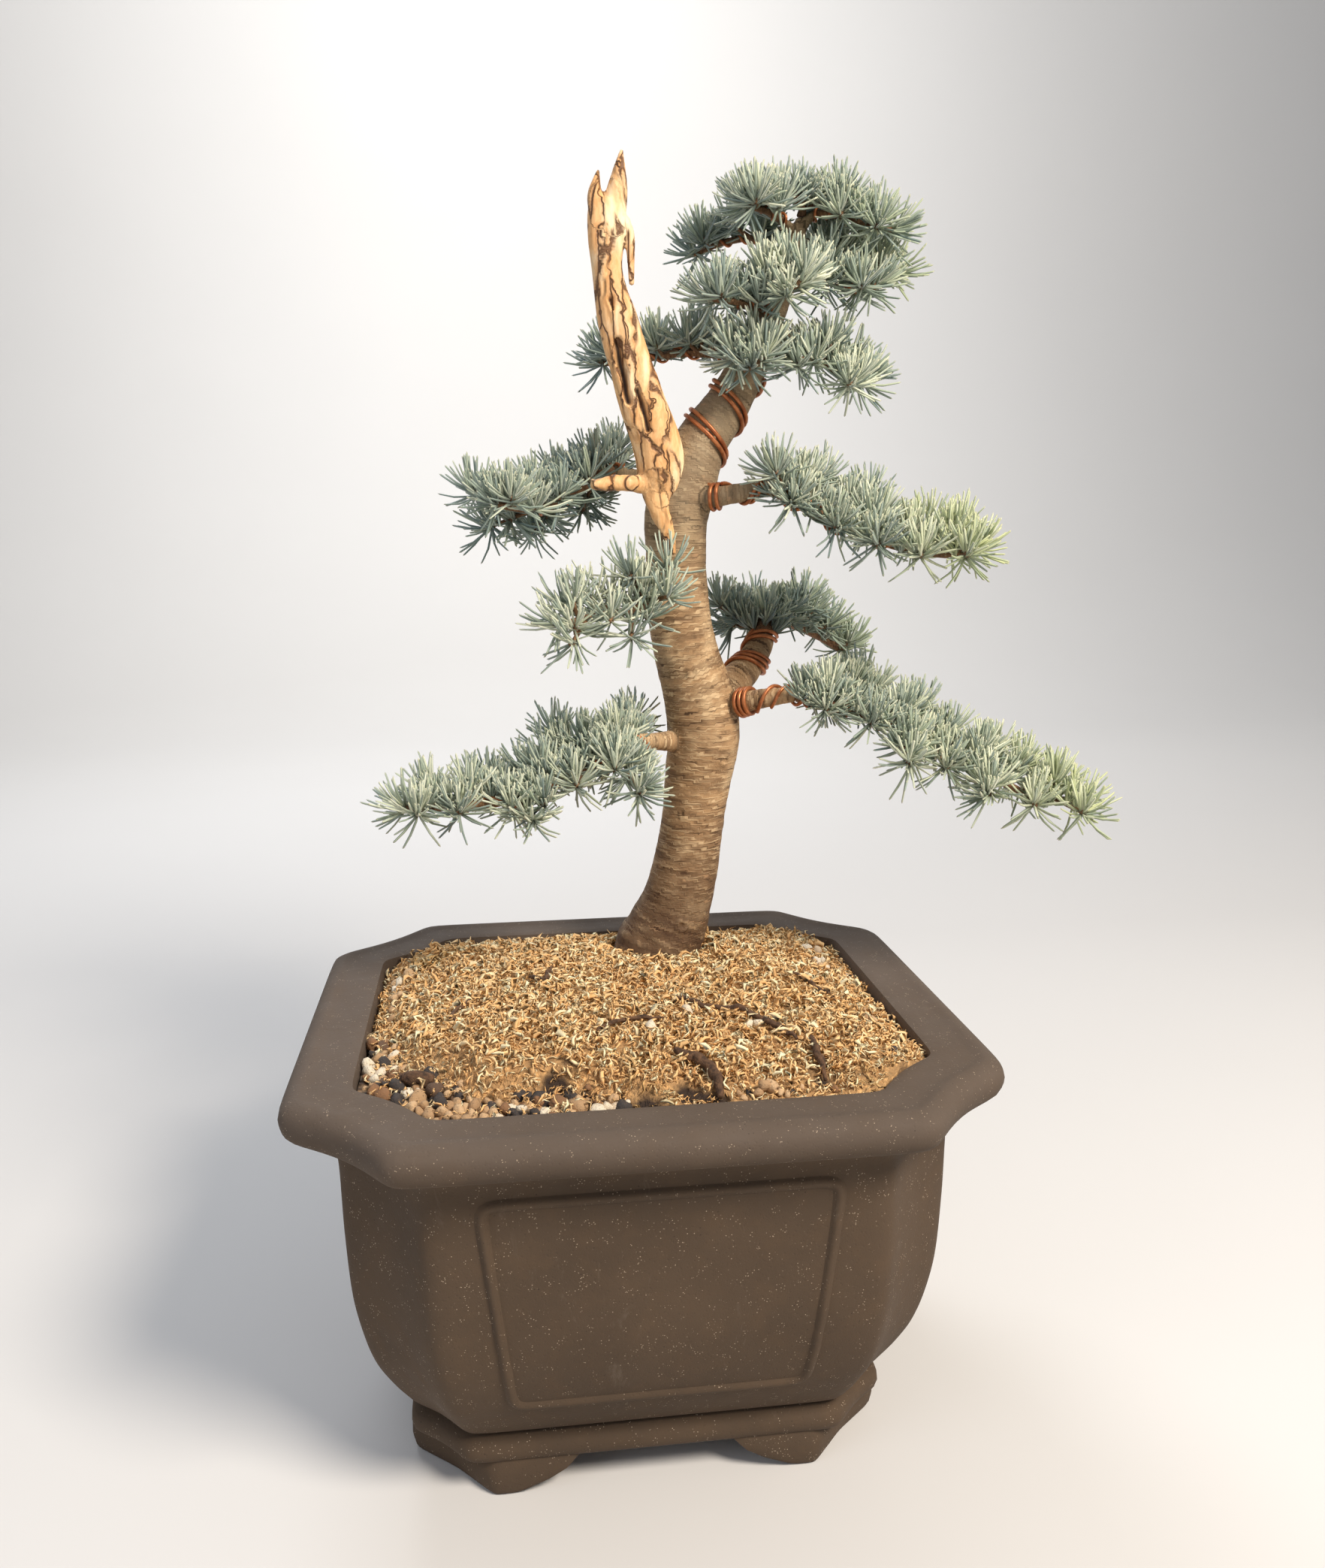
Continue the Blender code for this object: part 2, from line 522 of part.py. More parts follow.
def foot(sx, sy):
    """One bracket foot: an angle round a cut corner whose arms sweep up to the base."""
    rings = []
    for z, arm, swell in FOOT_CURVE:
        wide = FOOT_HALF + swell
        deep = FOOT_HALF - PLINTH_LESS + swell * 0.5
        cut, thick = FOOT_CORNER + swell * 0.7, FOOT_DEEP + swell
        middle = cut / 2 + PLINTH_HOLLOW / 2
        outline = [
            (wide, deep - cut - arm), (wide, deep - cut), (wide - middle, deep - middle),
            (wide - cut, deep), (wide - cut - arm, deep), (wide - cut - arm, deep - thick),
            (wide - cut - thick * 0.41, deep - thick), (wide - thick, deep - cut - thick * 0.41),
            (wide - thick, deep - cut - arm),
        ]
        rings.append([(sx * x, sy * y, z) for x, y in outline])
    return solid("foot", *loft(rings))


def cylinder(name, centre, radius, low, high, sides):
    rings = [ring(np.array([*centre, z]), np.array([1.0, 0, 0]), np.array([0, 1.0, 0]), radius, radius, sides)
             for z in (low, high)]
    return solid(name, *loft(rings))


def block(name, centre, size, finish=None):
    x, y, z = (s / 2 for s in size)
    rings = [[(centre[0] + sx * x, centre[1] + sy * y, centre[2] + sz * z)
              for sx, sy in ((-1, -1), (1, -1), (1, 1), (-1, 1))] for sz in (-1, 1)]
    return solid(name, *loft(rings), finish)


def make_pot(finish):
    rings = [plan(half, z) for half, z in WALL_OUTSIDE + WALL_INSIDE]
    pot = solid("pot", *loft(rings), finish)
    beads = [panel_bead(0, 1, 0), panel_bead(math.pi, 1, 0),
             panel_bead(math.pi / 2, 0, DEPTH_LESS), panel_bead(-math.pi / 2, 0, DEPTH_LESS)]
    feet = [foot(sx, sy) for sx in (-1, 1) for sy in (-1, 1)]
    joined(pot, beads + feet)
    drains = [
        cylinder("drain", (x, 0), DRAIN_RADIUS, 0, FLOOR_TOP + 0.01, 12)
        for x in (-DRAIN_OFFSET, DRAIN_OFFSET)
    ]
    return joined(pot, drains, "DIFFERENCE")


def make_screen(name, x, finish):
    z = FLOOR_TOP + GAP + SCREEN_THICK / 2
    screen = block(name, (x, 0, z), (SCREEN_SIDE, SCREEN_SIDE, SCREEN_THICK), finish)
    hole = (SCREEN_HOLE, SCREEN_HOLE, SCREEN_THICK * 3)
    holes = [
        block("mesh_hole", (x + i * SCREEN_PITCH, j * SCREEN_PITCH, z), hole)
        for i in (-1, 0, 1) for j in (-1, 0, 1)
    ]
    return joined(screen, holes, "DIFFERENCE")


def opening_outline(inset):
    """Points round the inside of the pot below the rim, with three more on each straight stretch."""
    corners = [np.array(p[:2]) for p in plan(WALL_INSIDE[0][0], 0, inset)]
    outline = []
    for i, point in enumerate(corners):
        outline.append(point)
        after = corners[(i + 1) % len(corners)]
        if i % 5 == 4:
            outline += [point + (after - point) * t for t in (0.25, 0.5, 0.75)]
    return outline


def grit_width(point):
    """How wide the strip of bare grit is beside this point of the rim: only at the front left."""
    bearing = math.atan2(point[1], point[0])
    off = abs(bearing - math.radians(-132))
    return GRIT_STRIP * max(0.0, 1 - (off / math.radians(38)) ** 2)


def moss_height(x, y, rnd=None):
    """Top of the moss: a low mound, a little higher towards the front rim."""
    across = max(abs(x) / WALL_INSIDE[0][0], abs(y) / (WALL_INSIDE[0][0] - DEPTH_LESS))
    rise = MOSS_RISE * (1 - min(across, 1.0) ** MOSS_FLAT)
    lift = MOSS_FRONT_LIFT * max(0.0, -y / WALL_INSIDE[0][0])
    return MOSS_EDGE_TOP + rise + lift + (rnd.uniform(-0.0012, 0.0012) if rnd else 0)


def make_soil(finish):
    levels = [(half, z) for half, z in reversed(WALL_INSIDE) if z < SOIL_TOP]
    top_half = np.interp(SOIL_TOP, *zip(*[(z, half) for half, z in reversed(WALL_INSIDE)]))
    rings = [plan(half, z + GAP, GAP) for half, z in levels] + [plan(float(top_half), SOIL_TOP, GAP)]
    soil = solid("soil", *loft(rings), finish)
    outer = opening_outline(GAP)
    middle = np.array(TREE_FOOT)
    banked = [p for p in outer if grit_width(p) > 0.008]
    section = []
    for p in banked:
        inner = p + unit(middle - p) * (grit_width(p) - 2 * GAP)
        low = SOIL_TOP - 0.006
        section.append([(*inner, low), (*p, low), (*p, GRIT_TOP), (*inner, GRIT_TOP - 0.001)])
    grit = solid("grit", *loft(section))
    joined(soil, [grit])
    hole = cylinder("root_hole", TREE_FOOT, TREE_HOLE, ROOT_DEPTH - GAP, SOIL_TOP + 0.01, 14)
    seat = (SCREEN_SIDE + 2 * GAP, SCREEN_SIDE + 2 * GAP, 4 * SCREEN_THICK)
    seats = [block("screen_seat", (x, 0, FLOOR_TOP), seat) for x in (-DRAIN_OFFSET, DRAIN_OFFSET)]
    return joined(soil, [hole] + seats, "DIFFERENCE")


def make_moss(finish):
    """The mounded dressing: a wheel of spokes from the round hole for the trunk to the pot's wall."""
    rnd = random.Random(SEED)
    middle = np.array(TREE_FOOT)
    rim = [p + unit(middle - p) * grit_width(p) for p in opening_outline(GAP)]
    bottom = SOIL_TOP + GAP
    lower_inner = [middle + unit(p - middle) * TREE_HOLE for p in rim]
    count = len(rim)
    loops = [[(*p, bottom) for p in lower_inner]]
    for share in (0.0, 0.22, 0.5, 0.8, 1.0):
        loop = []
        for inner, outer in zip(lower_inner, rim):
            x, y = inner + (outer - inner) * share
            loop.append((x, y, moss_height(x, y, rnd if 0 < share < 1 else None)))
        loops.append(loop)
    loops.append([(*p, bottom) for p in rim])
    faces = []
    for a in range(len(loops)):
        b = (a + 1) % len(loops)
        faces += [
            (a * count + i, a * count + (i + 1) % count, b * count + (i + 1) % count, b * count + i)
            for i in range(count)
        ]
    return solid("moss_dressing", [p for loop in loops for p in loop], faces, finish)


def radius_along(path, radii, split):
    return lambda s: float(np.interp(s, [0, split, path.length], radii))


def spray_paths():
    found = {}
    for name, spray in SPRAYS.items():
        path = Path(spray["path"])
        split = path.knots[spray["bare"]]
        found[name] = (path, split, radius_along(path, spray["radii"], split))
    return found


def trunk_solid(name, swell, finish=None):
    """The trunk with its leader, swollen by so much. Low roots spread it a little at the soil."""
    rings = []
    knots = smooth_path(TRUNK[2:], TRUNK_STEP)
    places = [np.array(k, float) for k in TRUNK[:2]] + list(knots)
    for i, knot in enumerate(places):
        heading = unit(places[min(i + 1, len(places) - 1)][:3] - places[max(i - 1, 0)][:3])
        if i < 3:
            heading = np.array([0.0, 0.0, 1.0])
        depth = unit(np.array([0.0, 1.0, 0.0]) - heading * heading[1])
        side = np.cross(depth, heading)
        rnd = random.Random(i)
        loop = ring(knot[:3], side, depth, knot[3] + swell, knot[3] + swell, TRUNK_SIDES, 0.2)
        waver = 0 if i < EVEN_RINGS else BARK_WAVER
        loop = [knot[:3] + (p - knot[:3]) * (1 + rnd.uniform(-waver, waver)) for p in loop]
        rings.append(loop)
    return solid(name, *loft(rings), finish, smooth=True)


def make_tree(paths, finish):
    tree = trunk_solid("trunk_and_limbs", 0, finish)
    limbs = [
        tube("limb", path, 0, split, radius, LIMB_SIDES[radius(0) > THICK_LIMB], LIMB_STEP)
        for path, split, radius in paths.values()
    ]
    return joined(tree, limbs)


def make_deadwood(finish):
    rings = []
    places = np.array(SPIKE, float)
    for i, knot in enumerate(places):
        rnd = random.Random(i + 40)
        across, away = np.array([1.0, 0, 0]), np.array([0, 1.0, 0])
        loop = ring(knot[:3], across, away, knot[3], knot[4], SPIKE_SIDES, 0.3)
        rings.append([knot[:3] + (p - knot[:3]) * (1 + rnd.uniform(-WOOD_WAVER, WOOD_WAVER)) for p in loop])
    wood = solid("deadwood", *loft(rings), finish)
    parts = [
        tapered("prong", PRONG_LEFT, 6), tapered("prong", PRONG_RIGHT, 6, 0.8),
        tapered("splinter", SPLINTER, 5), tapered("stub", STUB, 7, 0.9),
        tapered("strip", BARE_STRIP, 7, 0.55),
    ]
    joined(wood, parts)
    hollows = []
    for low, high, radius in CARVED:
        middle = (np.array(low) + np.array(high)) / 2
        knots = [(*low, radius * 0.2), (*middle, radius), (*high, radius * 0.2)]
        hollows.append(tapered("hollow", knots, 6, 2.2))
    return joined(wood, [trunk_solid("bark_seat", GAP)] + hollows, "DIFFERENCE")


def wire_points(path, radius_at, start, end, pitch, way_round, wire, crossing, face):
    """Points on a coil round a limb, far enough out for its flat steps to clear the bark."""
    steps = round((end - start) / pitch * WIRE_STEPS_A_TURN)
    out = 1 / math.cos(math.pi / WIRE_STEPS_A_TURN)
    points = []
    for i in range(steps + 1):
        s = start + (end - start) * i / steps
        side, above = path.across(s)
        angle = math.radians(face) + way_round * 2 * math.pi * (s - crossing) / pitch
        reach = (radius_at(s) + 2 * GAP + wire) * out
        points.append(path.at(s) + (side * math.cos(angle) + above * math.sin(angle)) * reach)
    return points


def make_wire(name, path, start, end, wire, points, finish):
    middle = [path.at(start + (end - start) * i / (len(points) - 1)) for i in range(len(points))]
    rings = []
    for i, point in enumerate(points):
        heading = unit(points[min(i + 1, len(points) - 1)] - points[max(i - 1, 0)])
        out = point - middle[i]
        out = unit(out - heading * (out @ heading))
        rings.append(ring(point, out, np.cross(heading, out), wire, wire, WIRE_SIDES, math.pi / WIRE_SIDES))
    return solid(name, *loft(rings), finish, smooth=True)


class Bars:
    """Straight round bars that thin from one radius to another, to keep other things clear of."""

    def __init__(self):
        self.rows = np.zeros((0, 8))

    def with_bars(self, ends, thick, thin):
        grown = Bars()
        fresh = [[*start, *end, thick, thin] for start, end in ends]
        grown.rows = np.vstack([self.rows, fresh]) if fresh else self.rows
        return grown

    def room(self, points, girths):
        """The least space between round points of these radii and the bars."""
        if not len(self.rows):
            return 1.0
        starts, along = self.rows[:, :3], self.rows[:, 3:6] - self.rows[:, :3]
        t = np.clip(((points[:, None] - starts[None]) * along[None]).sum(2) / (along**2).sum(1), 0, 1)
        gaps = np.linalg.norm(points[:, None] - (starts[None] + t[..., None] * along[None]), axis=2)
        thick = self.rows[:, 6] + (self.rows[:, 7] - self.rows[:, 6]) * t
        return float((gaps - thick - np.asarray(girths)[:, None]).min())


def samples_along(root, tip, step):
    far = np.linalg.norm(tip - root)
    return root + np.outer(np.arange(0.0, far, step), unit(tip - root))


def spray_twigs(name, path, split, radius_at, coil, others):
    """Side twigs of one spray, each as (root, tip, direction of its bud, radius at the root)."""
    spray = SPRAYS[name]
    rnd = random.Random(SEED + sum(map(ord, name)))
    length = path.length - split
    slots = max(2, int(length / spray["step"]))
    twigs = []

    def grow(s, way, far, tip=None, rise=BUD_RISE):
        for shift in TWIG_SHIFTS:
            place = s + shift
            if not split + 0.004 < place < path.length - 0.001:
                continue
            root = path.at(place)
            end = root + way * far if tip is None else tip
            samples = samples_along(root, end, 0.0012)
            girths = np.full(len(samples), BUD_RADIUS)
            if min(coil.room(samples, girths), others.room(samples, girths)) > CLEARANCE:
                bud = unit(unit(end - root) + np.array([0, 0, rise]))
                twigs.append((root, end, bud, min(TWIG_RADIUS, TWIG_SHARE * radius_at(place))))
                return

    for i in range(slots):
        share = (i + 0.4) / slots
        s = split + share * length
        heading = path.heading(s)
        side, above = path.across(s)
        front = side if side[1] < 0 else -side
        ways = (1, spray["front"], spray["lift"][0]), (-1, spray["back"], spray["lift"][1])
        for sign, reach, lift in ways:
            far = (reach[0] + (reach[1] - reach[0]) * share) * rnd.uniform(*TWIG_REACH)
            sweep = heading * rnd.uniform(*TWIG_SWEEP)
            way = unit(sign * front + sweep + above * (lift + rnd.uniform(-0.1, 0.1)))
            grow(s + sign * spray["step"] * 0.22, way, far, rise=BUD_RISE if lift > 0 else FLAT_RISE)
        if i % SPUR_EVERY == 0:
            grow(s, unit(above + heading * 0.4 + front * rnd.uniform(-0.3, 0.3)), SPUR)
    grow(path.length - 0.002, path.heading(path.length), TIP_TWIG, rise=0.15)
    for share, tip in spray["extra"]:
        grow(split + share * length, None, 0, np.array(tip), rise=0.0)
    return twigs


def twig_mesh(root, tip, bud_way, root_radius, spin):
    """Points and triangles of a twig, and {triangle: (lean, origin, axis) of the needle it takes}."""
    way = unit(tip - root)
    far = np.linalg.norm(tip - root)
    neck = tip - way * BUD_LONG
    stations = [(root, way, root_radius, None)]
    if far > LONG_TWIG:
        middle = root + way * far * 0.55
        stations += [
            (middle - way * HALFWAY_LONG, way, NECK_RADIUS, None),
            (middle, way, BUD_RADIUS, (HALFWAY_LEANS[0], None, middle)),
            (middle + way * HALFWAY_LONG, way, NECK_RADIUS, (HALFWAY_LEANS[1], None, middle)),
        ]
    stations += [
        (neck, unit(way + bud_way), NECK_RADIUS, None),
        (neck + bud_way * BUD_LONG, bud_way, BUD_RADIUS, (*BUD_LEANS[:2], neck)),
    ]
    points, faces, needles = [], [], {}
    for level, (place, axis, radius, lean) in enumerate(stations):
        one = unit(np.cross(axis, [0.30, 0.50, 0.81]))
        turn = spin + level * math.pi / TWIG_SIDES
        points += ring(place, one, np.cross(axis, one), radius, radius, TWIG_SIDES, turn)
        low, high = (level - 1) * TWIG_SIDES, level * TWIG_SIDES
        for i in range(TWIG_SIDES if level else 0):
            after = (i + 1) % TWIG_SIDES
            halves = (low + i, low + after, high + i), (high + i, low + after, high + after)
            for row, face in enumerate(halves):
                if lean and lean[row]:
                    needles[len(faces)] = (lean[row], lean[2], axis)
                faces.append(face)
    top = len(points) - TWIG_SIDES
    points.append(neck + bud_way * (BUD_LONG + BUD_POINT))
    for i in range(TWIG_SIDES):
        needles[len(faces)] = (BUD_LEANS[2], neck, bud_way)
        faces.append((top + i, top + (i + 1) % TWIG_SIDES, len(points) - 1))
    faces.append(tuple(reversed(range(TWIG_SIDES))))
    return points, faces, needles


def crowding(samples, girths, trees):
    """Direction away from the nearest surface that one of the samples comes too close to, if any."""
    for tree in trees:
        for sample, girth in zip(samples, girths):
            spot, _, _, distance = tree.find_nearest(Vector(sample), 0.01)
            if distance is not None and distance < girth + CLEARANCE:
                return unit(sample - np.array(spot)) if distance > 1e-6 else np.array([0, 0, 1.0])
    return None


def clear_needle(root, tip, others, own, needles, beside):
    """The needle's tip, bent clear of everything else, or None if there is no room."""
    length = np.linalg.norm(tip - root)
    shares = np.linspace(0.05, 1.0, PLACES)
    girths = NEEDLE_BASE * (1 - shares)
    from_own = int(len(shares) * OWN_TWIGS_FROM)
    from_beside = int(len(shares) * SAME_BUD_FROM)
    for _ in range(BENDS):
        way = unit(tip - root)
        samples = root + np.outer(shares * length, way)
        push = crowding(samples, girths, others)
        if push is None:
            push = crowding(samples[from_own:], girths[from_own:], own)
        if push is None:
            spread = beside.room(samples[from_beside:], girths[from_beside:])
            if needles.room(samples, girths) > CLEARANCE and spread > 0:
                return tip
            push = unit(np.cross(way, [0.2, -0.4, 0.9]))
        tip = root + unit(way + push * BEND) * length
    return None


def needled(points, faces, needles, others, own, grown, rnd):
    """The twig with its bud faces drawn out into needles wherever there is room for one."""
    points = [np.asarray(p) for p in points]
    drawn, fresh = [], []
    for index, face in enumerate(faces):
        tip = None
        if index in needles:
            lean, origin, way = needles[index]
            middle = sum(points[i] for i in face) / 3
            out = middle - origin
            out = unit(out - way * (out @ way))
            off = math.radians(lean + rnd.uniform(-NEEDLE_LEAN, NEEDLE_LEAN))
            lean_way = unit(way * math.cos(off) + out * math.sin(off) + np.array([0, 0, NEEDLE_RISE]))
            tip = middle + lean_way * NEEDLE_LONG * rnd.uniform(*NEEDLE_VARY)
            beside = Bars().with_bars(fresh, NEEDLE_BASE, 0.0)
            tip = clear_needle(middle, tip, others, own, grown, beside)
        if tip is None:
            drawn.append(face)
            continue
        points.append(tip)
        last = len(points) - 1
        drawn += [(face[0], face[1], last), (face[1], face[2], last), (face[2], face[0], last)]
        fresh.append((middle, tip))
    return points, drawn, fresh


def one_clean_body(thing):
    """Drops loose scraps and sealed pockets, then tells whether every edge has exactly two faces."""
    build = bmesh.new()
    build.from_mesh(thing.data)
    bmesh.ops.remove_doubles(build, verts=build.verts, dist=WELD)
    clean = all(len(edge.link_faces) == 2 for edge in build.edges)
    build.free()
    build = bmesh.new()
    build.from_mesh(thing.data)
    bodies, seen = [], set()
    for face in build.faces:
        if face in seen:
            continue
        body, waiting = [], [face]
        seen.add(face)
        while waiting:
            here = waiting.pop()
            body.append(here)
            fresh = {other for edge in here.edges for other in edge.link_faces} - seen
            seen |= fresh
            waiting += fresh
        bodies.append(body)
    bodies.sort(key=len)
    loose = [face for body in bodies[:-1] for face in body]
    bmesh.ops.delete(build, geom=loose, context="FACES")
    build.to_mesh(thing.data)
    build.free()
    return clean and len(loose) < MOST_LOOSE


def tree_of(thing):
    mesh = thing.data
    return BVHTree.FromPolygons([v.co for v in mesh.vertices], [tuple(p.vertices) for p in mesh.polygons])


def plan_twigs(paths, coils, rnd):
    """Each spray's twigs with the turn of their facets, kept clear of the wire and of other sprays."""
    planned = {}
    for name, (path, split, radius) in paths.items():
        others = Bars()
        for low, high in zip(TRUNK, TRUNK[1:]):
            others = others.with_bars([(low[:3], high[:3])], low[3], high[3])
        for twigs in planned.values():
            others = others.with_bars([(twig[0], twig[1]) for twig in twigs], BUD_RADIUS, BUD_RADIUS)
        for other, (limb, bark_end, thickness) in paths.items():
            stops = np.arange(0, limb.length if other != name else bark_end - 0.005, 0.004)
            girth = thickness(0) if other != name else thickness(bark_end)
            others = others.with_bars([(limb.at(s), limb.at(s + 0.004)) for s in stops], girth, girth)
        coil = Bars().with_bars(coils[name], WIRE_THICKEST, WIRE_THICKEST)
        twigs = spray_twigs(name, path, split, radius, coil, others)
        planned[name] = [(*twig, rnd.uniform(0, 1)) for twig in twigs]
    return planned


def make_sprays(paths, coils, blocks, finish):
    """One solid for each spray: its limb beyond the bark, its side twigs and their needles."""
    rnd = random.Random(SEED)
    planned = plan_twigs(paths, coils, rnd)
    cores, trees = {}, {}
    for name, (path, split, radius) in paths.items():
        cores[name] = tube("spray_" + name, path, split + GAP, path.length, radius, 5, CORE_STEP, finish)
        trees[name] = [tree_of(cores[name])]
        for twig in planned[name]:
            points, faces, _ = twig_mesh(*twig)
            trees[name].append(BVHTree.FromPolygons([tuple(p) for p in points], faces))
    needles = Bars()
    for name, twigs in planned.items():
        others = blocks + [tree for other in trees if other != name for tree in trees[other]]
        start = cores[name].data.copy()
        for turn in range(TRIES):
            cores[name].data = start.copy()
            solids, grown = [], needles
            for index, twig in enumerate(twigs):
                own = [tree for i, tree in enumerate(trees[name]) if i != index + 1]
                points, faces, sites = twig_mesh(*twig[:-1], twig[-1] + 0.11 * turn)
                points, faces, fresh = needled(points, faces, sites, others, own, grown, rnd)
                solids.append(solid("twig", points, faces))
                grown = grown.with_bars(fresh, NEEDLE_BASE, 0.0)
            joined(cores[name], solids, solver="MANIFOLD")
            if one_clean_body(cores[name]):
                break
            print(name, "is built again")
        needles = grown
    print(len(needles.rows), "needles")
    return list(cores.values())


def centre_over_origin(things):
    corners = np.array([v.co for thing in things for v in thing.data.vertices])
    low, high = corners.min(0), corners.max(0)
    shift = Vector((-(low[0] + high[0]) / 2, -(low[1] + high[1]) / 2, -low[2]))
    for thing in things:
        thing.location = shift


def main():
    remove_everything()
    clay = material("unglazed_clay", (0.075, 0.062, 0.055), 0.85)
    plastic = material("screen_plastic", (0.03, 0.03, 0.03), 0.6)
    grit = material("gritty_soil", (0.42, 0.33, 0.25), 0.95)
    moss = material("chopped_moss", (0.58, 0.40, 0.20), 1.0)
    bark = material("bark", (0.26, 0.18, 0.12), 0.85)
    bare_wood = material("bare_wood", (0.72, 0.42, 0.18), 0.6)
    wire = material("copper_brown_wire", (0.42, 0.16, 0.07), 0.4, 0.7)
    needles = material("blue_needles", (0.30, 0.38, 0.34), 0.6)

    paths = spray_paths()
    things = [make_pot(clay), make_soil(grit), make_moss(moss)]
    for name, x in (("drain_screen_left", -DRAIN_OFFSET), ("drain_screen_right", DRAIN_OFFSET)):
        things.append(make_screen(name, x, plastic))
    things.append(make_tree(paths, bark))
    things.append(make_deadwood(bare_wood))
    leader = Path(TRUNK)
    trunk_radii = [knot[3] for knot in TRUNK]
    routes = {name: (path, radius) for name, (path, _, radius) in paths.items()}
    routes["leader"] = (leader, lambda s: float(np.interp(s, leader.knots, trunk_radii)) * LEADER_SHARE)
    coils = {name: [] for name in paths}
    for name, (route, start, end, *coil) in WIRES.items():
        path, radius = routes[route]
        points = wire_points(path, radius, start, end, *coil)
        things.append(make_wire(name, path, start, end, coil[2], points, wire))
        if route in coils:
            coils[route] += list(zip(points, points[1:]))
    things += make_sprays(paths, coils, [tree_of(thing) for thing in things], needles)
    centre_over_origin(things)


main()
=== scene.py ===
"""Dresses the blue atlas cedar bonsai: fired clay pot, chopped moss and grit, bark, carved wood,
training wire and tufts of blue needles, with a plain studio round it."""

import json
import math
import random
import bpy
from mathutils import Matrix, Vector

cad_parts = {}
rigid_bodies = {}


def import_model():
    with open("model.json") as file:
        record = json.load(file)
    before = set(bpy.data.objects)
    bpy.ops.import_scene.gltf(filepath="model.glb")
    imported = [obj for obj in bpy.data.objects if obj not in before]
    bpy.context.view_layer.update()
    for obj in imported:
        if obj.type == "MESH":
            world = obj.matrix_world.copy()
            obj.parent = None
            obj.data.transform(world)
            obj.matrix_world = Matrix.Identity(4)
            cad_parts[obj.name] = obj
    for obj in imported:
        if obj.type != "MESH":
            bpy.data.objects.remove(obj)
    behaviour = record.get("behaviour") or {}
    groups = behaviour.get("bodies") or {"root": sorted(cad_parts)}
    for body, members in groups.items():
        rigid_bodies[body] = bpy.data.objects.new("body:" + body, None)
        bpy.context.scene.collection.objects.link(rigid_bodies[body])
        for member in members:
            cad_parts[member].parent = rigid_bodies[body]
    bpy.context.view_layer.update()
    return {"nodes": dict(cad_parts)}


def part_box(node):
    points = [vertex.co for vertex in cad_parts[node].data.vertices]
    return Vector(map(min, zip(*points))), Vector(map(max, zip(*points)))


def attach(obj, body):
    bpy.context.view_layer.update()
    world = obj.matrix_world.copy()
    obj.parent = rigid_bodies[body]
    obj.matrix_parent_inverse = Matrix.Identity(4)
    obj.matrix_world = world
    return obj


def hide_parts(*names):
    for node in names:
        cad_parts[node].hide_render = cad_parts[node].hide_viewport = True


bl_info = {
    "name": "Blue Atlas Cedar Bonsai",
    "version": (1, 0, 0),
    "blender": (4, 5, 0),
    "location": "3D View > Sidebar > Bonsai",
    "description": "Builds the visible surfaces of a wired cedar bonsai in a footed clay pot",
    "category": "Object",
}

import bmesh
import bpy
import numpy as np
from bpy.props import FloatProperty, FloatVectorProperty, IntProperty, PointerProperty
from mathutils import Matrix, Vector, noise
from mathutils.kdtree import KDTree

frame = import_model()
POT_LOW, POT_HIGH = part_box("pot")
MIDDLE = np.array([(POT_LOW.x + POT_HIGH.x) / 2, (POT_LOW.y + POT_HIGH.y) / 2, 0.0])

# Pot, drawn round its own middle. Levels are (half the width, height), all lengths are metres.
RIM_HALF = 0.180
PLINTH_HALF = 0.1272
DEPTH_LESS = 0.010
PLINTH_LESS = 0.0135
PLINTH_CORNER = 0.0300
RIM_CORNER = 0.0544
PLINTH_HOLLOW = 0.003
RIM_HOLLOW = 0.0065
UNDERSIDE = [(0.0150, 0.018), (0.0800, 0.018), (0.1180, 0.018)]
PLINTH = [
    (0.1215, 0.0183), (0.1244, 0.0192), (0.1262, 0.0212), (0.1272, 0.0245), (0.1269, 0.0280),
    (0.1256, 0.0303), (0.1228, 0.0319), (0.1205, 0.0330), (0.1217, 0.0342), (0.1248, 0.0364),
]
WALL = [
    (0.1275, 0.0395), (0.1355, 0.0530), (0.1430, 0.0690), (0.1480, 0.0870), (0.1520, 0.1100),
    (0.1540, 0.1450), (0.1550, 0.1840), (0.1580, 0.1935), (0.1650, 0.1990), (0.1760, 0.2025),
    (0.1800, 0.2110), (0.1785, 0.2180), (0.1745, 0.2205), (0.1725, 0.2214), (0.1700, 0.2214),
    (0.1685, 0.2205), (0.1590, 0.2203), (0.1490, 0.2205), (0.1463, 0.2185), (0.1455, 0.2050),
]
INSIDE = [(0.1440, 0.1400), (0.1390, 0.0850), (0.1270, 0.0500), (0.1020, 0.030), (0.0150, 0.030)]
DRAIN_RADIUS = 0.011
DRAIN_OFFSET = 0.045
# Edges that fold by more degrees than this stay sharp
SHARP_FOLD = 42
FOOT_HALF = 0.1245
FOOT_CORNER = 0.0405
FOOT_DEEP = 0.022
# (height, length of the foot's arms, how far it swells)
FOOT_CURVE = [
    (0.0, 0.010, 0.0000), (0.0022, 0.018, 0.0020), (0.0070, 0.030, 0.0036),
    (0.0125, 0.040, 0.0036), (0.0205, 0.047, 0.0002),
]
PANEL_LOW, PANEL_HIGH = 0.064, 0.180
PANEL_HALF_LOW, PANEL_HALF_HIGH = 0.073, 0.086
# Half the bead across: (offset from its line, how proud), in millimetres
BEAD_PROFILE = [(-3.9, -0.5), (-2.9, 0.10), (-2.0, 1.15), (-1.0, 2.0), (0.0, 2.25)]

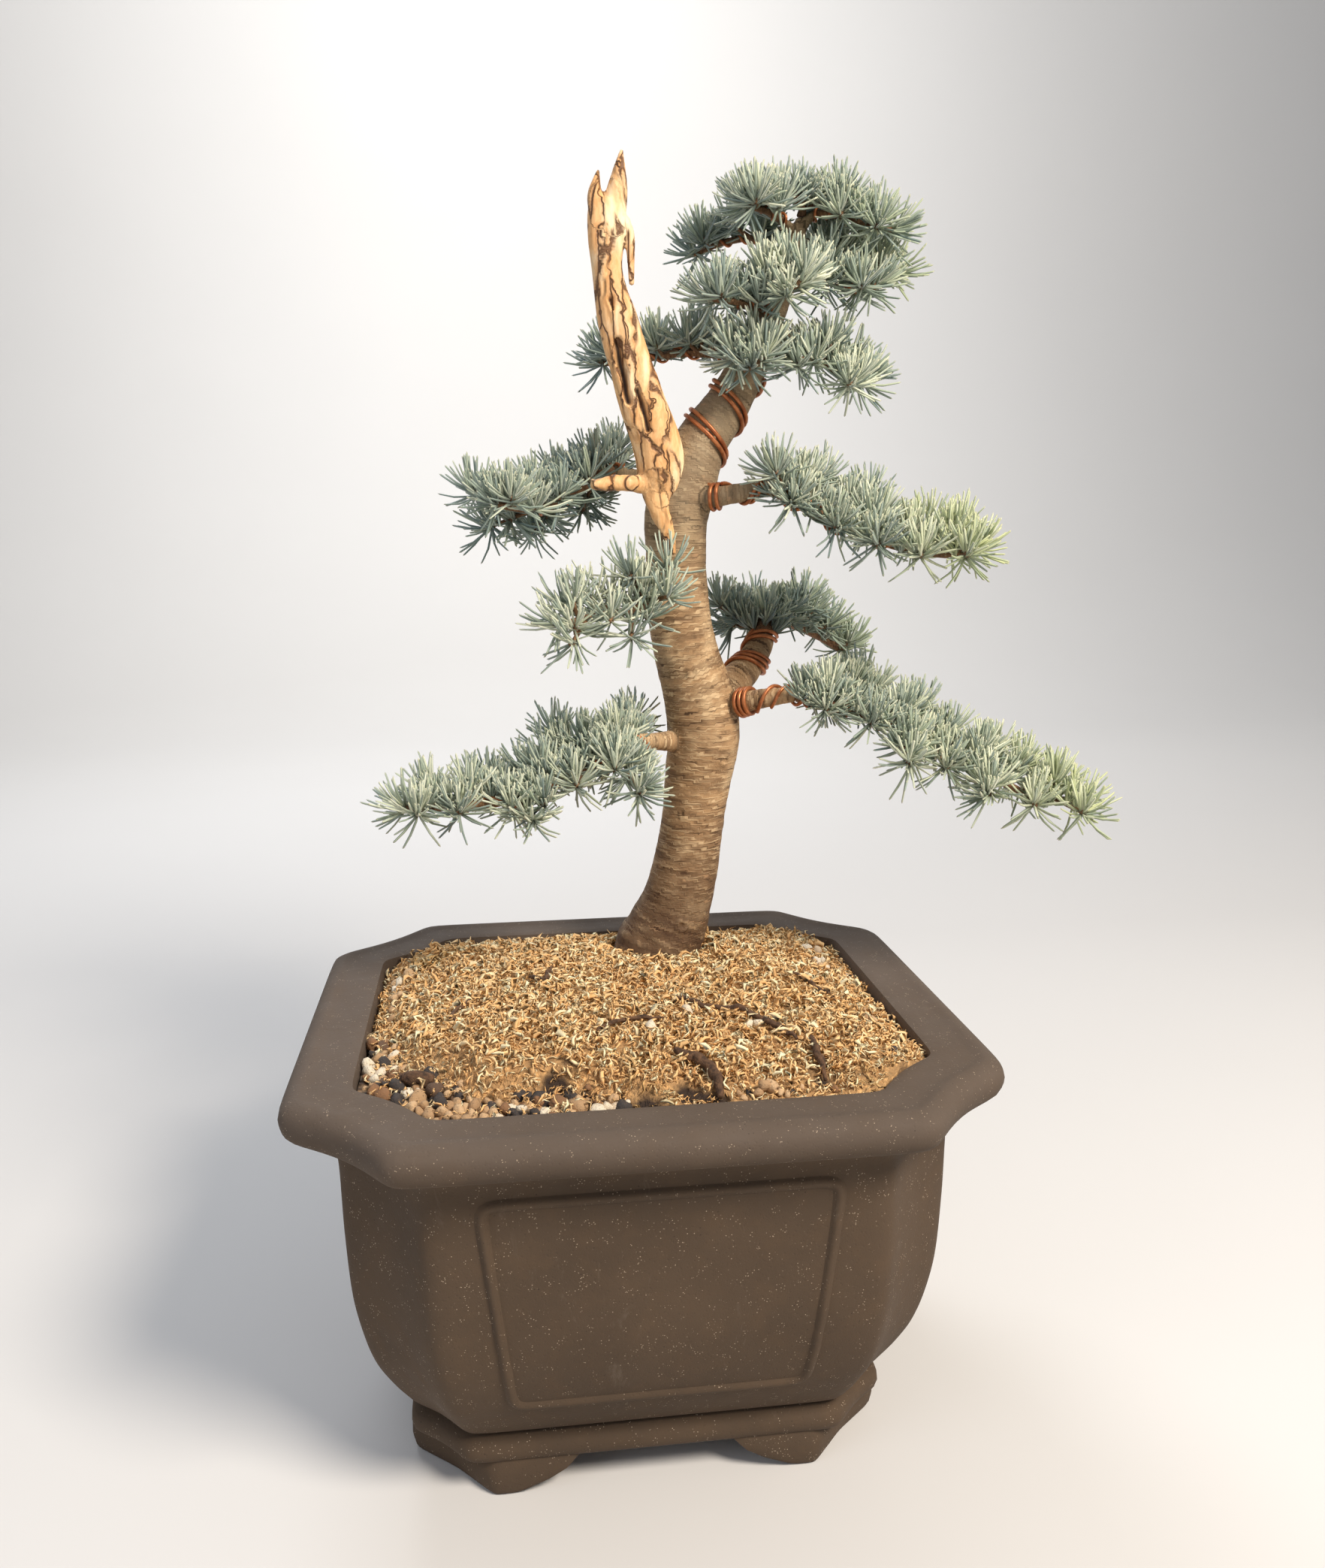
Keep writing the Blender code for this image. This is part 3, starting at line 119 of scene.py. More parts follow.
# Soil surface
MOSS_EDGE = 0.1455
MOSS_EDGE_TOP = 0.2110
MOSS_RISE = 0.0190
MOSS_FLAT = 3.2
MOSS_FRONT_LIFT = 0.0055
MOSS_BOTTOM = 0.2050
GRIT_STRIP = 0.030
GRIT_TOP = 0.2130
TREE_FOOT = np.array([0.026, 0.073])
TREE_HOLE = 0.0290

# Trunk and leader: (x, y, z, radius)
TRUNK = [
    (0.026, 0.073, 0.2040, 0.0300), (0.026, 0.073, 0.2265, 0.0286), (0.030, 0.073, 0.2380, 0.0254),
    (0.037, 0.073, 0.2560, 0.0222), (0.043, 0.072, 0.2800, 0.0204), (0.047, 0.071, 0.3060, 0.0193),
    (0.051, 0.070, 0.3380, 0.0204), (0.054, 0.068, 0.3640, 0.0222), (0.050, 0.067, 0.3900, 0.0210),
    (0.042, 0.066, 0.4180, 0.0190), (0.038, 0.065, 0.4450, 0.0184), (0.037, 0.064, 0.4710, 0.0178),
    (0.037, 0.063, 0.4930, 0.0186), (0.041, 0.063, 0.5100, 0.0190), (0.047, 0.064, 0.5260, 0.0172),
    (0.055, 0.066, 0.5400, 0.0150), (0.068, 0.069, 0.5570, 0.0132), (0.083, 0.072, 0.5830, 0.0112),
    (0.091, 0.074, 0.6020, 0.0100), (0.101, 0.077, 0.6240, 0.0084), (0.109, 0.079, 0.6450, 0.0062),
    (0.1125, 0.080, 0.6590, 0.0046),
]
# The leader's route is measured from this height, under the soil
ROUTE_FROM = 0.190
# Scars on the bark: (distance up the trunk, bearing in degrees, radius, how proud)
SCARS = [
    (0.046, -82, 0.0042, 0.0016), (0.112, -78, 0.0030, 0.0012), (0.118, -120, 0.0026, 0.0010),
    (0.150, -60, 0.0034, 0.0013), (0.205, -96, 0.0036, 0.0012), (0.262, -70, 0.0030, 0.0012),
    (0.300, -40, 0.0034, 0.0016), (0.345, -88, 0.0042, 0.0016), (0.190, 60, 0.0042, 0.0014),
    (0.090, 130, 0.0040, 0.0012), (0.255, 100, 0.0042, 0.0014), (0.160, 170, 0.0036, 0.0014),
]
# The roots spread below this height
FLARE_TOP = 0.262
# Voxels of the skins over the trunk and over the deadwood
TRUNK_VOXEL, CARVED_VOXEL = 0.00142, 0.00085

# Limbs: path, how many of its spans are bark, and radii at the trunk, where needles start, at the tip
LIMBS = {
    "lower_left": (
        [(0.040, 0.064, 0.361), (0.020, 0.050, 0.363), (0.009, 0.042, 0.365), (-0.012, 0.032, 0.357),
         (-0.036, 0.024, 0.346), (-0.064, 0.018, 0.337), (-0.094, 0.013, 0.335), (-0.122, 0.009, 0.336)],
        2, (0.0070, 0.0042, 0.0018)),
    "lower_right": (
        [(0.066, 0.064, 0.381), (0.083, 0.047, 0.387), (0.104, 0.038, 0.390), (0.125, 0.030, 0.384),
         (0.154, 0.020, 0.374), (0.180, 0.010, 0.359), (0.206, 0.000, 0.347), (0.232, -0.009, 0.335),
         (0.254, -0.016, 0.333)],
        2, (0.0080, 0.0044, 0.0018)),
    "back_right": (
        [(0.054, 0.068, 0.372), (0.074, 0.082, 0.392), (0.088, 0.094, 0.404), (0.098, 0.106, 0.418),
         (0.104, 0.123, 0.428), (0.120, 0.138, 0.428), (0.143, 0.149, 0.418), (0.162, 0.155, 0.406)],
        3, (0.0130, 0.0080, 0.0018)),
    "mid_left": (
        [(0.034, 0.062, 0.444), (0.024, 0.044, 0.446), (0.019, 0.036, 0.446), (0.008, 0.024, 0.442),
         (-0.012, 0.012, 0.440), (-0.036, 0.001, 0.436)],
        2, (0.0050, 0.0030, 0.0016)),
    "upper_left": (
        [(0.036, 0.070, 0.508), (0.020, 0.088, 0.515), (0.005, 0.092, 0.519), (-0.009, 0.088, 0.516),
         (-0.028, 0.078, 0.506), (-0.044, 0.066, 0.499), (-0.058, 0.050, 0.499), (-0.068, 0.036, 0.501)],
        2, (0.0075, 0.0052, 0.0020)),
    "upper_right": (
        [(0.042, 0.062, 0.505), (0.054, 0.049, 0.504), (0.069, 0.042, 0.506), (0.089, 0.036, 0.508),
         (0.105, 0.030, 0.499), (0.121, 0.024, 0.489), (0.141, 0.016, 0.481), (0.160, 0.008, 0.474),
         (0.179, 0.002, 0.471), (0.193, -0.003, 0.474)],
        3, (0.0070, 0.0046, 0.0018)),
    "crown_left_row": (
        [(0.086, 0.076, 0.585), (0.076, 0.084, 0.587), (0.068, 0.088, 0.588), (0.049, 0.095, 0.590),
         (0.027, 0.100, 0.587), (-0.001, 0.105, 0.584)],
        2, (0.0045, 0.0033, 0.0016)),
    "crown_front_low": ([(0.085, 0.070, 0.586), (0.082, 0.058, 0.583), (0.076, 0.040, 0.575)],
                        1, (0.0032, 0.0026, 0.0016)),
    "crown_right_low": (
        [(0.095, 0.074, 0.595), (0.106, 0.070, 0.595), (0.115, 0.066, 0.591), (0.125, 0.060, 0.578),
         (0.134, 0.056, 0.571), (0.142, 0.054, 0.569)],
        2, (0.0045, 0.0030, 0.0016)),
    "crown_mid_left": (
        [(0.097, 0.074, 0.616), (0.090, 0.060, 0.610), (0.084, 0.054, 0.608), (0.070, 0.050, 0.611),
         (0.056, 0.050, 0.612)],
        1, (0.0040, 0.0028, 0.0016)),
    "crown_outer_left": (
        [(0.104, 0.080, 0.640), (0.097, 0.098, 0.652), (0.088, 0.108, 0.658), (0.073, 0.114, 0.656),
         (0.058, 0.115, 0.650)],
        1, (0.0040, 0.0028, 0.0016)),
    "crown_top_left": (
        [(0.111, 0.080, 0.653), (0.103, 0.075, 0.659), (0.094, 0.070, 0.663), (0.080, 0.065, 0.665)],
        1, (0.0034, 0.0026, 0.0016)),
    "crown_front": (
        [(0.101, 0.076, 0.630), (0.099, 0.060, 0.624), (0.097, 0.046, 0.619), (0.095, 0.035, 0.613)],
        1, (0.0034, 0.0026, 0.0016)),
    "crown_right_upper": (
        [(0.1115, 0.080, 0.655), (0.120, 0.076, 0.664), (0.128, 0.071, 0.664), (0.142, 0.065, 0.659),
         (0.159, 0.059, 0.653)],
        1, (0.0034, 0.0026, 0.0014)),
    "crown_right_mid": (
        [(0.109, 0.080, 0.650), (0.122, 0.088, 0.651), (0.136, 0.091, 0.649), (0.150, 0.086, 0.643),
         (0.168, 0.077, 0.634)],
        1, (0.0036, 0.0028, 0.0014)),
    "crown_right_back": (
        [(0.104, 0.079, 0.634), (0.115, 0.076, 0.632), (0.126, 0.068, 0.628), (0.139, 0.062, 0.624),
         (0.151, 0.059, 0.622)],
        1, (0.0038, 0.0030, 0.0015)),
    "crown_apex": ([(0.1100, 0.0795, 0.648), (0.1135, 0.080, 0.6640), (0.115, 0.080, 0.671)],
                   1, (0.0028, 0.0030, 0.0018)),
}

# Deadwood: (x, y, z, half width, half thickness), and its (x, y, z, radius) offshoots with their flatness
SPIKE = [
    (0.027, 0.056, 0.4980, 0.0080, 0.0080), (0.027, 0.053, 0.5130, 0.0135, 0.0120),
    (0.025, 0.051, 0.5310, 0.0146, 0.0115), (0.017, 0.048, 0.5540, 0.0142, 0.0100),
    (0.009, 0.047, 0.5780, 0.0130, 0.0092), (0.002, 0.046, 0.6020, 0.0114, 0.0085),
    (-0.003, 0.045, 0.6250, 0.0086, 0.0075), (-0.003, 0.045, 0.6480, 0.0108, 0.0066),
    (-0.003, 0.045, 0.6620, 0.0100, 0.0056),
]
OFFSHOOTS = [
    ([(-0.007, 0.045, 0.6500, 0.0050), (-0.009, 0.045, 0.6640, 0.0046), (-0.007, 0.045, 0.6770, 0.0010)],
     1.0),
    ([(0.001, 0.045, 0.6480, 0.0062), (0.003, 0.045, 0.6680, 0.0058), (0.006, 0.045, 0.6870, 0.0010)], 0.8),
    ([(0.004, 0.045, 0.6550, 0.0030), (0.0095, 0.045, 0.6440, 0.0028), (0.0105, 0.045, 0.6180, 0.0012)], 1.0),
    ([(0.026, 0.050, 0.5110, 0.0060), (0.004, 0.046, 0.5120, 0.0048), (-0.014, 0.041, 0.5110, 0.0034)], 0.9),
    ([(0.024, 0.048, 0.5120, 0.0090), (0.025, 0.0475, 0.4980, 0.0066), (0.030, 0.0465, 0.4850, 0.0046),
      (0.034, 0.0470, 0.4720, 0.0020)], 0.55),
]
# Hollows in the wood: (low end, high end, radius, depth); their insides are also painted dark as shade
HOLLOWS = [
    ((0.0075, 0.038, 0.556), (0.0010, 0.038, 0.588), 0.0028, 0.0040),
    ((0.0185, 0.040, 0.541), (0.0125, 0.039, 0.562), 0.0025, 0.0036),
    ((-0.0005, 0.039, 0.604), (-0.0020, 0.039, 0.609), 0.0020, 0.0030),
]

# Wire: (route, start, end, pitch, way round, radius, where it crosses, face angle of that crossing)
WIRES = {
    "wire_leader_left": ("leader", 0.3525, 0.4035, 0.0240, 1, 0.00125, 0.3590, 0),
    "wire_leader_right": ("leader", 0.3485, 0.3995, 0.0240, 1, 0.00125, 0.3550, 0),
    "wire_back_right_outer": ("back_right", 0.0345, 0.0780, 0.0232, -1, 0.00125, 0.0515, 45),
    "wire_back_right_inner": ("back_right", 0.0300, 0.0740, 0.0232, -1, 0.00125, 0.0475, 45),
    "wire_lower_right": ("lower_right", 0.0230, 0.1500, 0.0250, 1, 0.00110, 0.0296, 0),
    "wire_lower_left": ("lower_left", 0.0290, 0.1680, 0.0300, -1, 0.00110, 0.1255, 180),
    "wire_upper_right": ("upper_right", 0.0240, 0.1300, 0.0280, 1, 0.00110, 0.0456, 0),
    "wire_upper_left": ("upper_left", 0.0380, 0.1080, 0.0240, -1, 0.00110, 0.0750, 270),
    "wire_crown_left": ("crown_left_row", 0.0160, 0.0700, 0.0190, -1, 0.00090, 0.0437, 180),
    "wire_crown_right": ("crown_right_low", 0.0125, 0.0480, 0.0180, 1, 0.00090, 0.0200, 0),
}
# Strands that the solids leave out, beside the coils and at the feet of limbs: name and coils as above
SECOND_STRANDS = {
    "wire_collar": [("lower_right", 0.0130, 0.0215, 0.0029, 1, 0.00125, 0.0170, 0)],
    "wire_third_back_right": [("back_right", 0.0385, 0.0740, 0.0232, -1, 0.00115, 0.0553, 45)],
    "wire_loop_upper_right": [("upper_right", 0.0185, 0.0250, 0.0032, 1, 0.00110, 0.0210, 0)],
    "wire_pair_upper_right": [("upper_right", 0.0270, 0.1000, 0.0280, 1, 0.00110, 0.0490, 0)],
    "wire_pair_lower_right": [("lower_right", 0.0330, 0.0800, 0.0250, 1, 0.00100, 0.0375, 0)],
    "wire_pair_upper_left": [("upper_left", 0.0400, 0.0960, 0.0240, -1, 0.00110, 0.0785, 270)],
    "wire_crown_strands": [
        ("crown_right_upper", 0.0090, 0.0300, 0.0090, 1, 0.00085, 0.0150, 0),
        ("crown_right_back", 0.0120, 0.0420, 0.0110, 1, 0.00085, 0.0200, 0),
        ("crown_mid_left", 0.0160, 0.0400, 0.0110, -1, 0.00085, 0.0200, 180),
        ("crown_top_left", 0.0100, 0.0280, 0.0090, -1, 0.00085, 0.0140, 180),
        ("crown_outer_left", 0.0260, 0.0560, 0.0120, -1, 0.00085, 0.0300, 180),
    ],
}

# A vertex of a solid spray is a needle's tip if all its edges are longer than this
SHORTEST_NEEDLE = 0.011
# Needles of one bud lie this close; side whorls sit this near a bud at most, and this far apart at least
BUD_REACH, WHORL_REACH, WHORL_GAP = 0.0033, 0.017, 0.0052
# Half the girth of a needle's shape, which is one unit long, and how deep needles sit in their bud
NEEDLE_HALF, NEEDLE_SUNK = 0.024, 0.0009
# Share of the usual needles on a spray that is thin
THIN_SPRAYS = {"spray_mid_left": 0.6}

# Sticks and roots on the moss, as (x, y) points, with how thick they are
STICKS = [
    ([(0.0215, -0.0362), (0.0359, -0.0497), (0.0543, -0.0602), (0.0751, -0.0925)], 0.0016),
    ([(0.0120, -0.0985), (0.0234, -0.1085), (0.0293, -0.1202), (0.0298, -0.1310)], 0.0028),
    ([(0.0827, -0.0936), (0.0824, -0.1060), (0.0831, -0.1220)], 0.0022),
    ([(-0.0587, 0.0188), (-0.0496, 0.0072), (-0.0430, 0.0296)], 0.0012),
    ([(-0.0250, -0.0700), (-0.0080, -0.0600), (0.0120, -0.0640)], 0.0011),
    ([(0.0950, 0.0100), (0.1080, -0.0080), (0.1120, -0.0300)], 0.0012),
    ([(-0.0900, -0.0100), (-0.1000, -0.0300), (-0.0960, -0.0440)], 0.0011),
    ([(-0.0300, 0.1000), (-0.0520, 0.1060), (-0.0640, 0.1180)], 0.0010),
]
# Hollows in the moss: (middle, radius, depth); the moss and strands inside them are painted darker as shade
HOLLOWS_IN_MOSS = [
    ((-0.0480, -0.1040), 0.0080, 0.0040), ((-0.0340, -0.1160), 0.0090, 0.0050),
    ((-0.0200, -0.1240), 0.0100, 0.0055), ((-0.0060, -0.1290), 0.0100, 0.0055),
    ((0.0150, -0.1240), 0.0090, 0.0050), ((0.0280, -0.1300), 0.0080, 0.0040),
    ((0.0840, -0.1220), 0.0060, 0.0030),
]
# Strands lie along the wall past the first share of the way out, and stop at the second
ALONG_WALL_FROM, STRANDS_TO = 0.97, 0.9985
# Shares of the strands that are left out in hollows and that are kept on the grit
BARE_IN_HOLLOWS, STRANDS_ON_GRIT = 0.62, 0.22
STONES_IN_STRIP, STONES_BY_WALL = 230, 46
MOST_TRIES = 60000
# Heaps of odd stones on the moss: (middle, half its size each way, stones, low and high tone)
STONE_HEAPS = [
    ((-0.1320, 0.0500), (0.0060, 0.0180), 9, 0.60, 1.0), ((0.1240, 0.0560), (0.0050, 0.0170), 9, 0.80, 1.0),
    ((-0.1340, 0.0100), (0.0040, 0.0150), 5, 0.40, 0.9), ((0.0480, -0.1290), (0.0140, 0.0025), 4, 0.35, 0.8),
    ((-0.0381, -0.0385), (0.0010, 0.0010), 1, 0.95, 1.0), ((0.0300, -0.0560), (0.0300, 0.0200), 4, 0.90, 1.0),
    ((0.1260, -0.0300), (0.0030, 0.0300), 4, 0.10, 0.8),
]

# Floor that bends up into a wall: half its size, where the bend starts, its radius, the wall's height
FLOOR_HALF, BEND_START, BEND, WALL_TOP = 7.0, 2.4, 1.8, 6.0
# Lights: (place, aim, size, watts, colour)
LIGHTS = {
    "key": ((1.0, -1.25, 1.75), (0, 0, 0.35), 0.7, 60, (1.0, 0.90, 0.78)),
    "fill": ((-1.7, -1.1, 1.2), (0, 0, 0.35), 1.2, 7, (0.86, 0.90, 1.0)),
    "rim": ((-0.5, 1.5, 1.8), (0, 0, 0.45), 0.9, 18, (0.90, 0.94, 1.0)),
    "backdrop": ((0, 1.9, 2.6), (0, 4.2, 1.6), 2.0, 70, (1.0, 0.99, 0.97)),
}
SKY_COLOUR = (0.80, 0.83, 0.88, 1)
SKY_STRENGTH = 0.36

# Camera: place and turn, from the perspective of the pot's edges
CAMERA_PLACE = (-0.0701, -0.6848, 0.4806)
CAMERA_YAW = 0.1303
CAMERA_PITCH = -0.1911
CAMERA_ROLL = -0.007
FOCAL_PIXELS = 1682.4
PHOTO_LONG_SIDE = 2087
FILM_LONG_SIDE = 36.0


def unit(v):
    v = np.asarray(v, float)
    return v / np.linalg.norm(v)


def any_way(rnd):
    """A direction drawn at random."""
    return unit([rnd.gauss(0, 1) for _ in range(3)])


def smoothstep(low, high, x):
    t = np.clip((x - low) / (high - low), 0, 1)
    return t * t * (3 - 2 * t)


def smooth_path(knots, spacing):
    """Even points on a curve through the knots, which may carry sizes after x, y, z."""
    knots = np.array(knots, float)
    padded = np.vstack([2 * knots[0] - knots[1], knots, 2 * knots[-1] - knots[-2]])
    fine = []
    for a, b, c, d in zip(padded, padded[1:], padded[2:], padded[3:]):
        for t in np.linspace(0, 1, 16, endpoint=False):
            bend = (2 * a - 5 * b + 4 * c - d) * t**2 + (3 * b - a - 3 * c + d) * t**3
            fine.append(0.5 * (2 * b + (c - a) * t + bend))
    fine = np.array(fine + [knots[-1]])
    along = np.concatenate([[0], np.cumsum(np.linalg.norm(np.diff(fine[:, :3], axis=0), axis=1))])
    stops = np.linspace(0, along[-1], max(2, round(along[-1] / spacing) + 1))
    return np.stack([np.interp(stops, along, fine[:, k]) for k in range(fine.shape[1])], axis=1)


def smooth_2d(knots, spacing):
    """smooth_path for a flat line."""
    return smooth_path([(*k, 0.0) for k in knots], spacing)[:, :2]


class Route:
    """A smooth centre line that can be read at any distance from its start."""

    def __init__(self, knots):
        self.points = smooth_path([k[:3] for k in knots], 0.002)
        steps = np.linalg.norm(np.diff(self.points, axis=0), axis=1)
        self.along = np.concatenate([[0], np.cumsum(steps)])
        self.length = self.along[-1]
        self.knots = [
            self.along[np.argmin(np.linalg.norm(self.points - np.array(k[:3]), axis=1))] for k in knots
        ]

    def at(self, s):
        return np.array([np.interp(s, self.along, self.points[:, k]) for k in range(3)])

    def heading(self, s):
        return unit(self.at(min(s + 0.0015, self.length)) - self.at(max(s - 0.0015, 0)))

    def across(self, s):
        heading = self.heading(s)
        lean = np.array([0.0, 0.0, 1.0]) if abs(heading[2]) < 0.9 else np.array([0.0, -1.0, 0.0])
        above = unit(lean - heading * (lean @ heading))
        return np.cross(heading, above), above


def routes():
    """Route, length of bare bark and girth of every limb, and of the leader from under the soil up."""
    found = {}
    for name, (knots, bare, radii) in LIMBS.items():
        route = Route(knots)
        split = route.knots[bare]
        stops = [0, split, route.length]
        found[name] = (route, split, lambda s, at=stops, wide=radii: float(np.interp(s, at, wide)))
    knots = [(TRUNK[0][0], TRUNK[0][1], ROUTE_FROM, TRUNK[0][3])] + TRUNK
    leader = Route(knots)
    radii = [k[3] for k in knots]
    found["leader"] = (leader, 0.0, lambda s: float(np.interp(s, leader.knots, radii)))
    return found


def linked(name, data):
    """A new object in the scene."""
    thing = bpy.data.objects.new(name, data)
    bpy.context.scene.collection.objects.link(thing)
    return thing


def turn_outwards(mesh):
    """Points every face of a closed mesh outwards."""
    build = bmesh.new()
    build.from_mesh(mesh)
    bmesh.ops.recalc_face_normals(build, faces=build.faces)
    build.to_mesh(mesh)
    build.free()


def paint(thing, material):
    """Gives a piece that material alone."""
    thing.data.materials.clear()
    thing.data.materials.append(material)


def mesh_object(name, points, faces):
    """A mesh piece at the origin, from points round the pot's middle, its faces turned outwards."""
    mesh = bpy.data.meshes.new(name)
    mesh.from_pydata([tuple(p) for p in np.asarray(points, float) + MIDDLE], [], faces)
    turn_outwards(mesh)
    mesh.shade_smooth()
    return linked(name, mesh)


def turns(sides):
    """Even angles round a circle."""
    return np.arange(sides) * 2 * math.pi / sides


def softened(loop, times):
    """A closed line of points with its folds rounded off."""
    for _ in range(times):
        loop = 0.5 * loop + 0.25 * (np.roll(loop, 1, axis=0) + np.roll(loop, -1, axis=0))
    return loop


def lofted(rings, joined=False):
    """Points and faces through rings of equally many points: capped, or with the last joined to the first."""
    count = len(rings[0])
    points = [p for ring in rings for p in ring]
    faces = []
    for level in range(len(rings) if joined else len(rings) - 1):
        low, high = level * count, (level + 1) % len(rings) * count
        faces += [(low + i, low + (i + 1) % count, high + (i + 1) % count, high + i) for i in range(count)]
    if not joined:
        faces.append(tuple(reversed(range(count))))
        faces.append(tuple(len(points) - count + i for i in range(count)))
    return points, faces


def joined_shells(shells):
    """Several (points, faces) as one."""
    points, faces = [], []
    for more, sides in shells:
        faces += [tuple(i + len(points) for i in side) for side in sides]
        points += list(more)
    return points, faces


def rounded_bar(knots, sides, spacing, flatten=1.0):
    """A bar through (x, y, z, radius) knots, capped flat, thinner from front to back where flattened."""
    places = smooth_path(knots, spacing)
    rings = []
    for i, place in enumerate(places):
        heading = unit(places[min(i + 1, len(places) - 1), :3] - places[max(i - 1, 0), :3])
        depth = unit(np.array([0.0, 1.0, 0.0]) - heading * heading[1])
        side = np.cross(depth, heading)
        rings.append([
            place[:3] + (side * math.cos(a) + depth * math.sin(a) * flatten) * place[3] for a in turns(sides)
        ])
    return lofted(rings)


def route_bar(route, start, end, girth, sides, spacing):
    """A bar along part of a route, capped flat."""
    stops = np.linspace(start, end, max(2, round((end - start) / spacing) + 1))
    rings = []
    for s in stops:
        side, above = route.across(s)
        rings.append([
            route.at(s) + (side * math.cos(a) + above * math.sin(a)) * girth(s) for a in turns(sides)
        ])
    return lofted(rings)


def evaluated_mesh(thing):
    """Applies the modifiers of a piece by taking the mesh that they make."""
    graph = bpy.context.evaluated_depsgraph_get()
    mesh = bpy.data.meshes.new_from_object(thing.evaluated_get(graph))
    for modifier in list(thing.modifiers):
        thing.modifiers.remove(modifier)
    old = thing.data
    thing.data = mesh
    if old.users == 0:
        bpy.data.meshes.remove(old)
    return thing


def remeshed(thing, voxel, smoothing):
    """One skin over all the shells of a piece, with soft joints between them."""
    remesh = thing.modifiers.new("skin", "REMESH")
    remesh.mode = "VOXEL"
    remesh.voxel_size = voxel
    soften = thing.modifiers.new("soften", "SMOOTH")
    soften.factor = 0.5
    soften.iterations = smoothing
    return evaluated_mesh(thing)


def points_of(mesh):
    """The vertices round the pot's middle."""
    flat = np.zeros(len(mesh.vertices) * 3, np.float32)
    mesh.vertices.foreach_get("co", flat)
    return flat.reshape(-1, 3).astype(float) - MIDDLE


def normals_of(mesh):
    flat = np.zeros(len(mesh.vertices) * 3, np.float32)
    mesh.vertex_normals.foreach_get("vector", flat)
    return flat.reshape(-1, 3).astype(float)


def set_points(mesh, points):
    mesh.vertices.foreach_set("co", (points + MIDDLE).astype(np.float32).ravel())
    mesh.update()


def store(mesh, name, values):
    """A number for each vertex, which a material can read."""
    attribute = mesh.attributes.new(name, "FLOAT", "POINT")
    attribute.data.foreach_set("value", np.asarray(values, np.float32))


def nearest_along(points, bars):
    """For each point, the distance along the bar whose surface is nearest; a bar is (x, y, z, radius)
    knots and the offset that tells it apart."""
    nearest = np.full(len(points), 1e9)
    along = np.zeros(len(points))
    for bar, offset in bars:
        steps = offset + np.concatenate([[0], np.cumsum(np.linalg.norm(np.diff(bar[:, :3], axis=0), axis=1))])
        tree = KDTree(len(bar))
        for i, knot in enumerate(bar):
            tree.insert(Vector(knot[:3]), i)
        tree.balance()
        hits = [tree.find(Vector(p))[1:] for p in points]
        off = np.array([abs(distance - bar[i, 3]) for i, distance in hits])
        closer = off < nearest
        nearest[closer] = off[closer]
        along[closer] = steps[[hits[k][0] for k in np.flatnonzero(closer)]]
    return along


class Value:
    """A shader value that takes part in ordinary arithmetic, which adds its Math nodes."""

    def __init__(self, finish, socket):
        self.finish = finish
        self.socket = socket

    def math(self, operation, *terms):
        return self.finish.node("ShaderNodeMath", {"operation": operation}, dict(enumerate(terms)))

    def __add__(self, other):
        return self.math("ADD", self, other)

    def __sub__(self, other):
        return self.math("SUBTRACT", self, other)

    def __rsub__(self, other):
        return self.math("SUBTRACT", other, self)

    def __mul__(self, other):
        return self.math("MULTIPLY", self, other)

    __radd__ = __add__
    __rmul__ = __mul__

    def between(self, low, high):
        """0 at low and below, 1 at high and above, smooth in between."""
        return self.finish.node(
            "ShaderNodeMapRange", {"interpolation_type": "SMOOTHSTEP"},
            {"Value": self, "From Min": low, "From Max": high},
        )


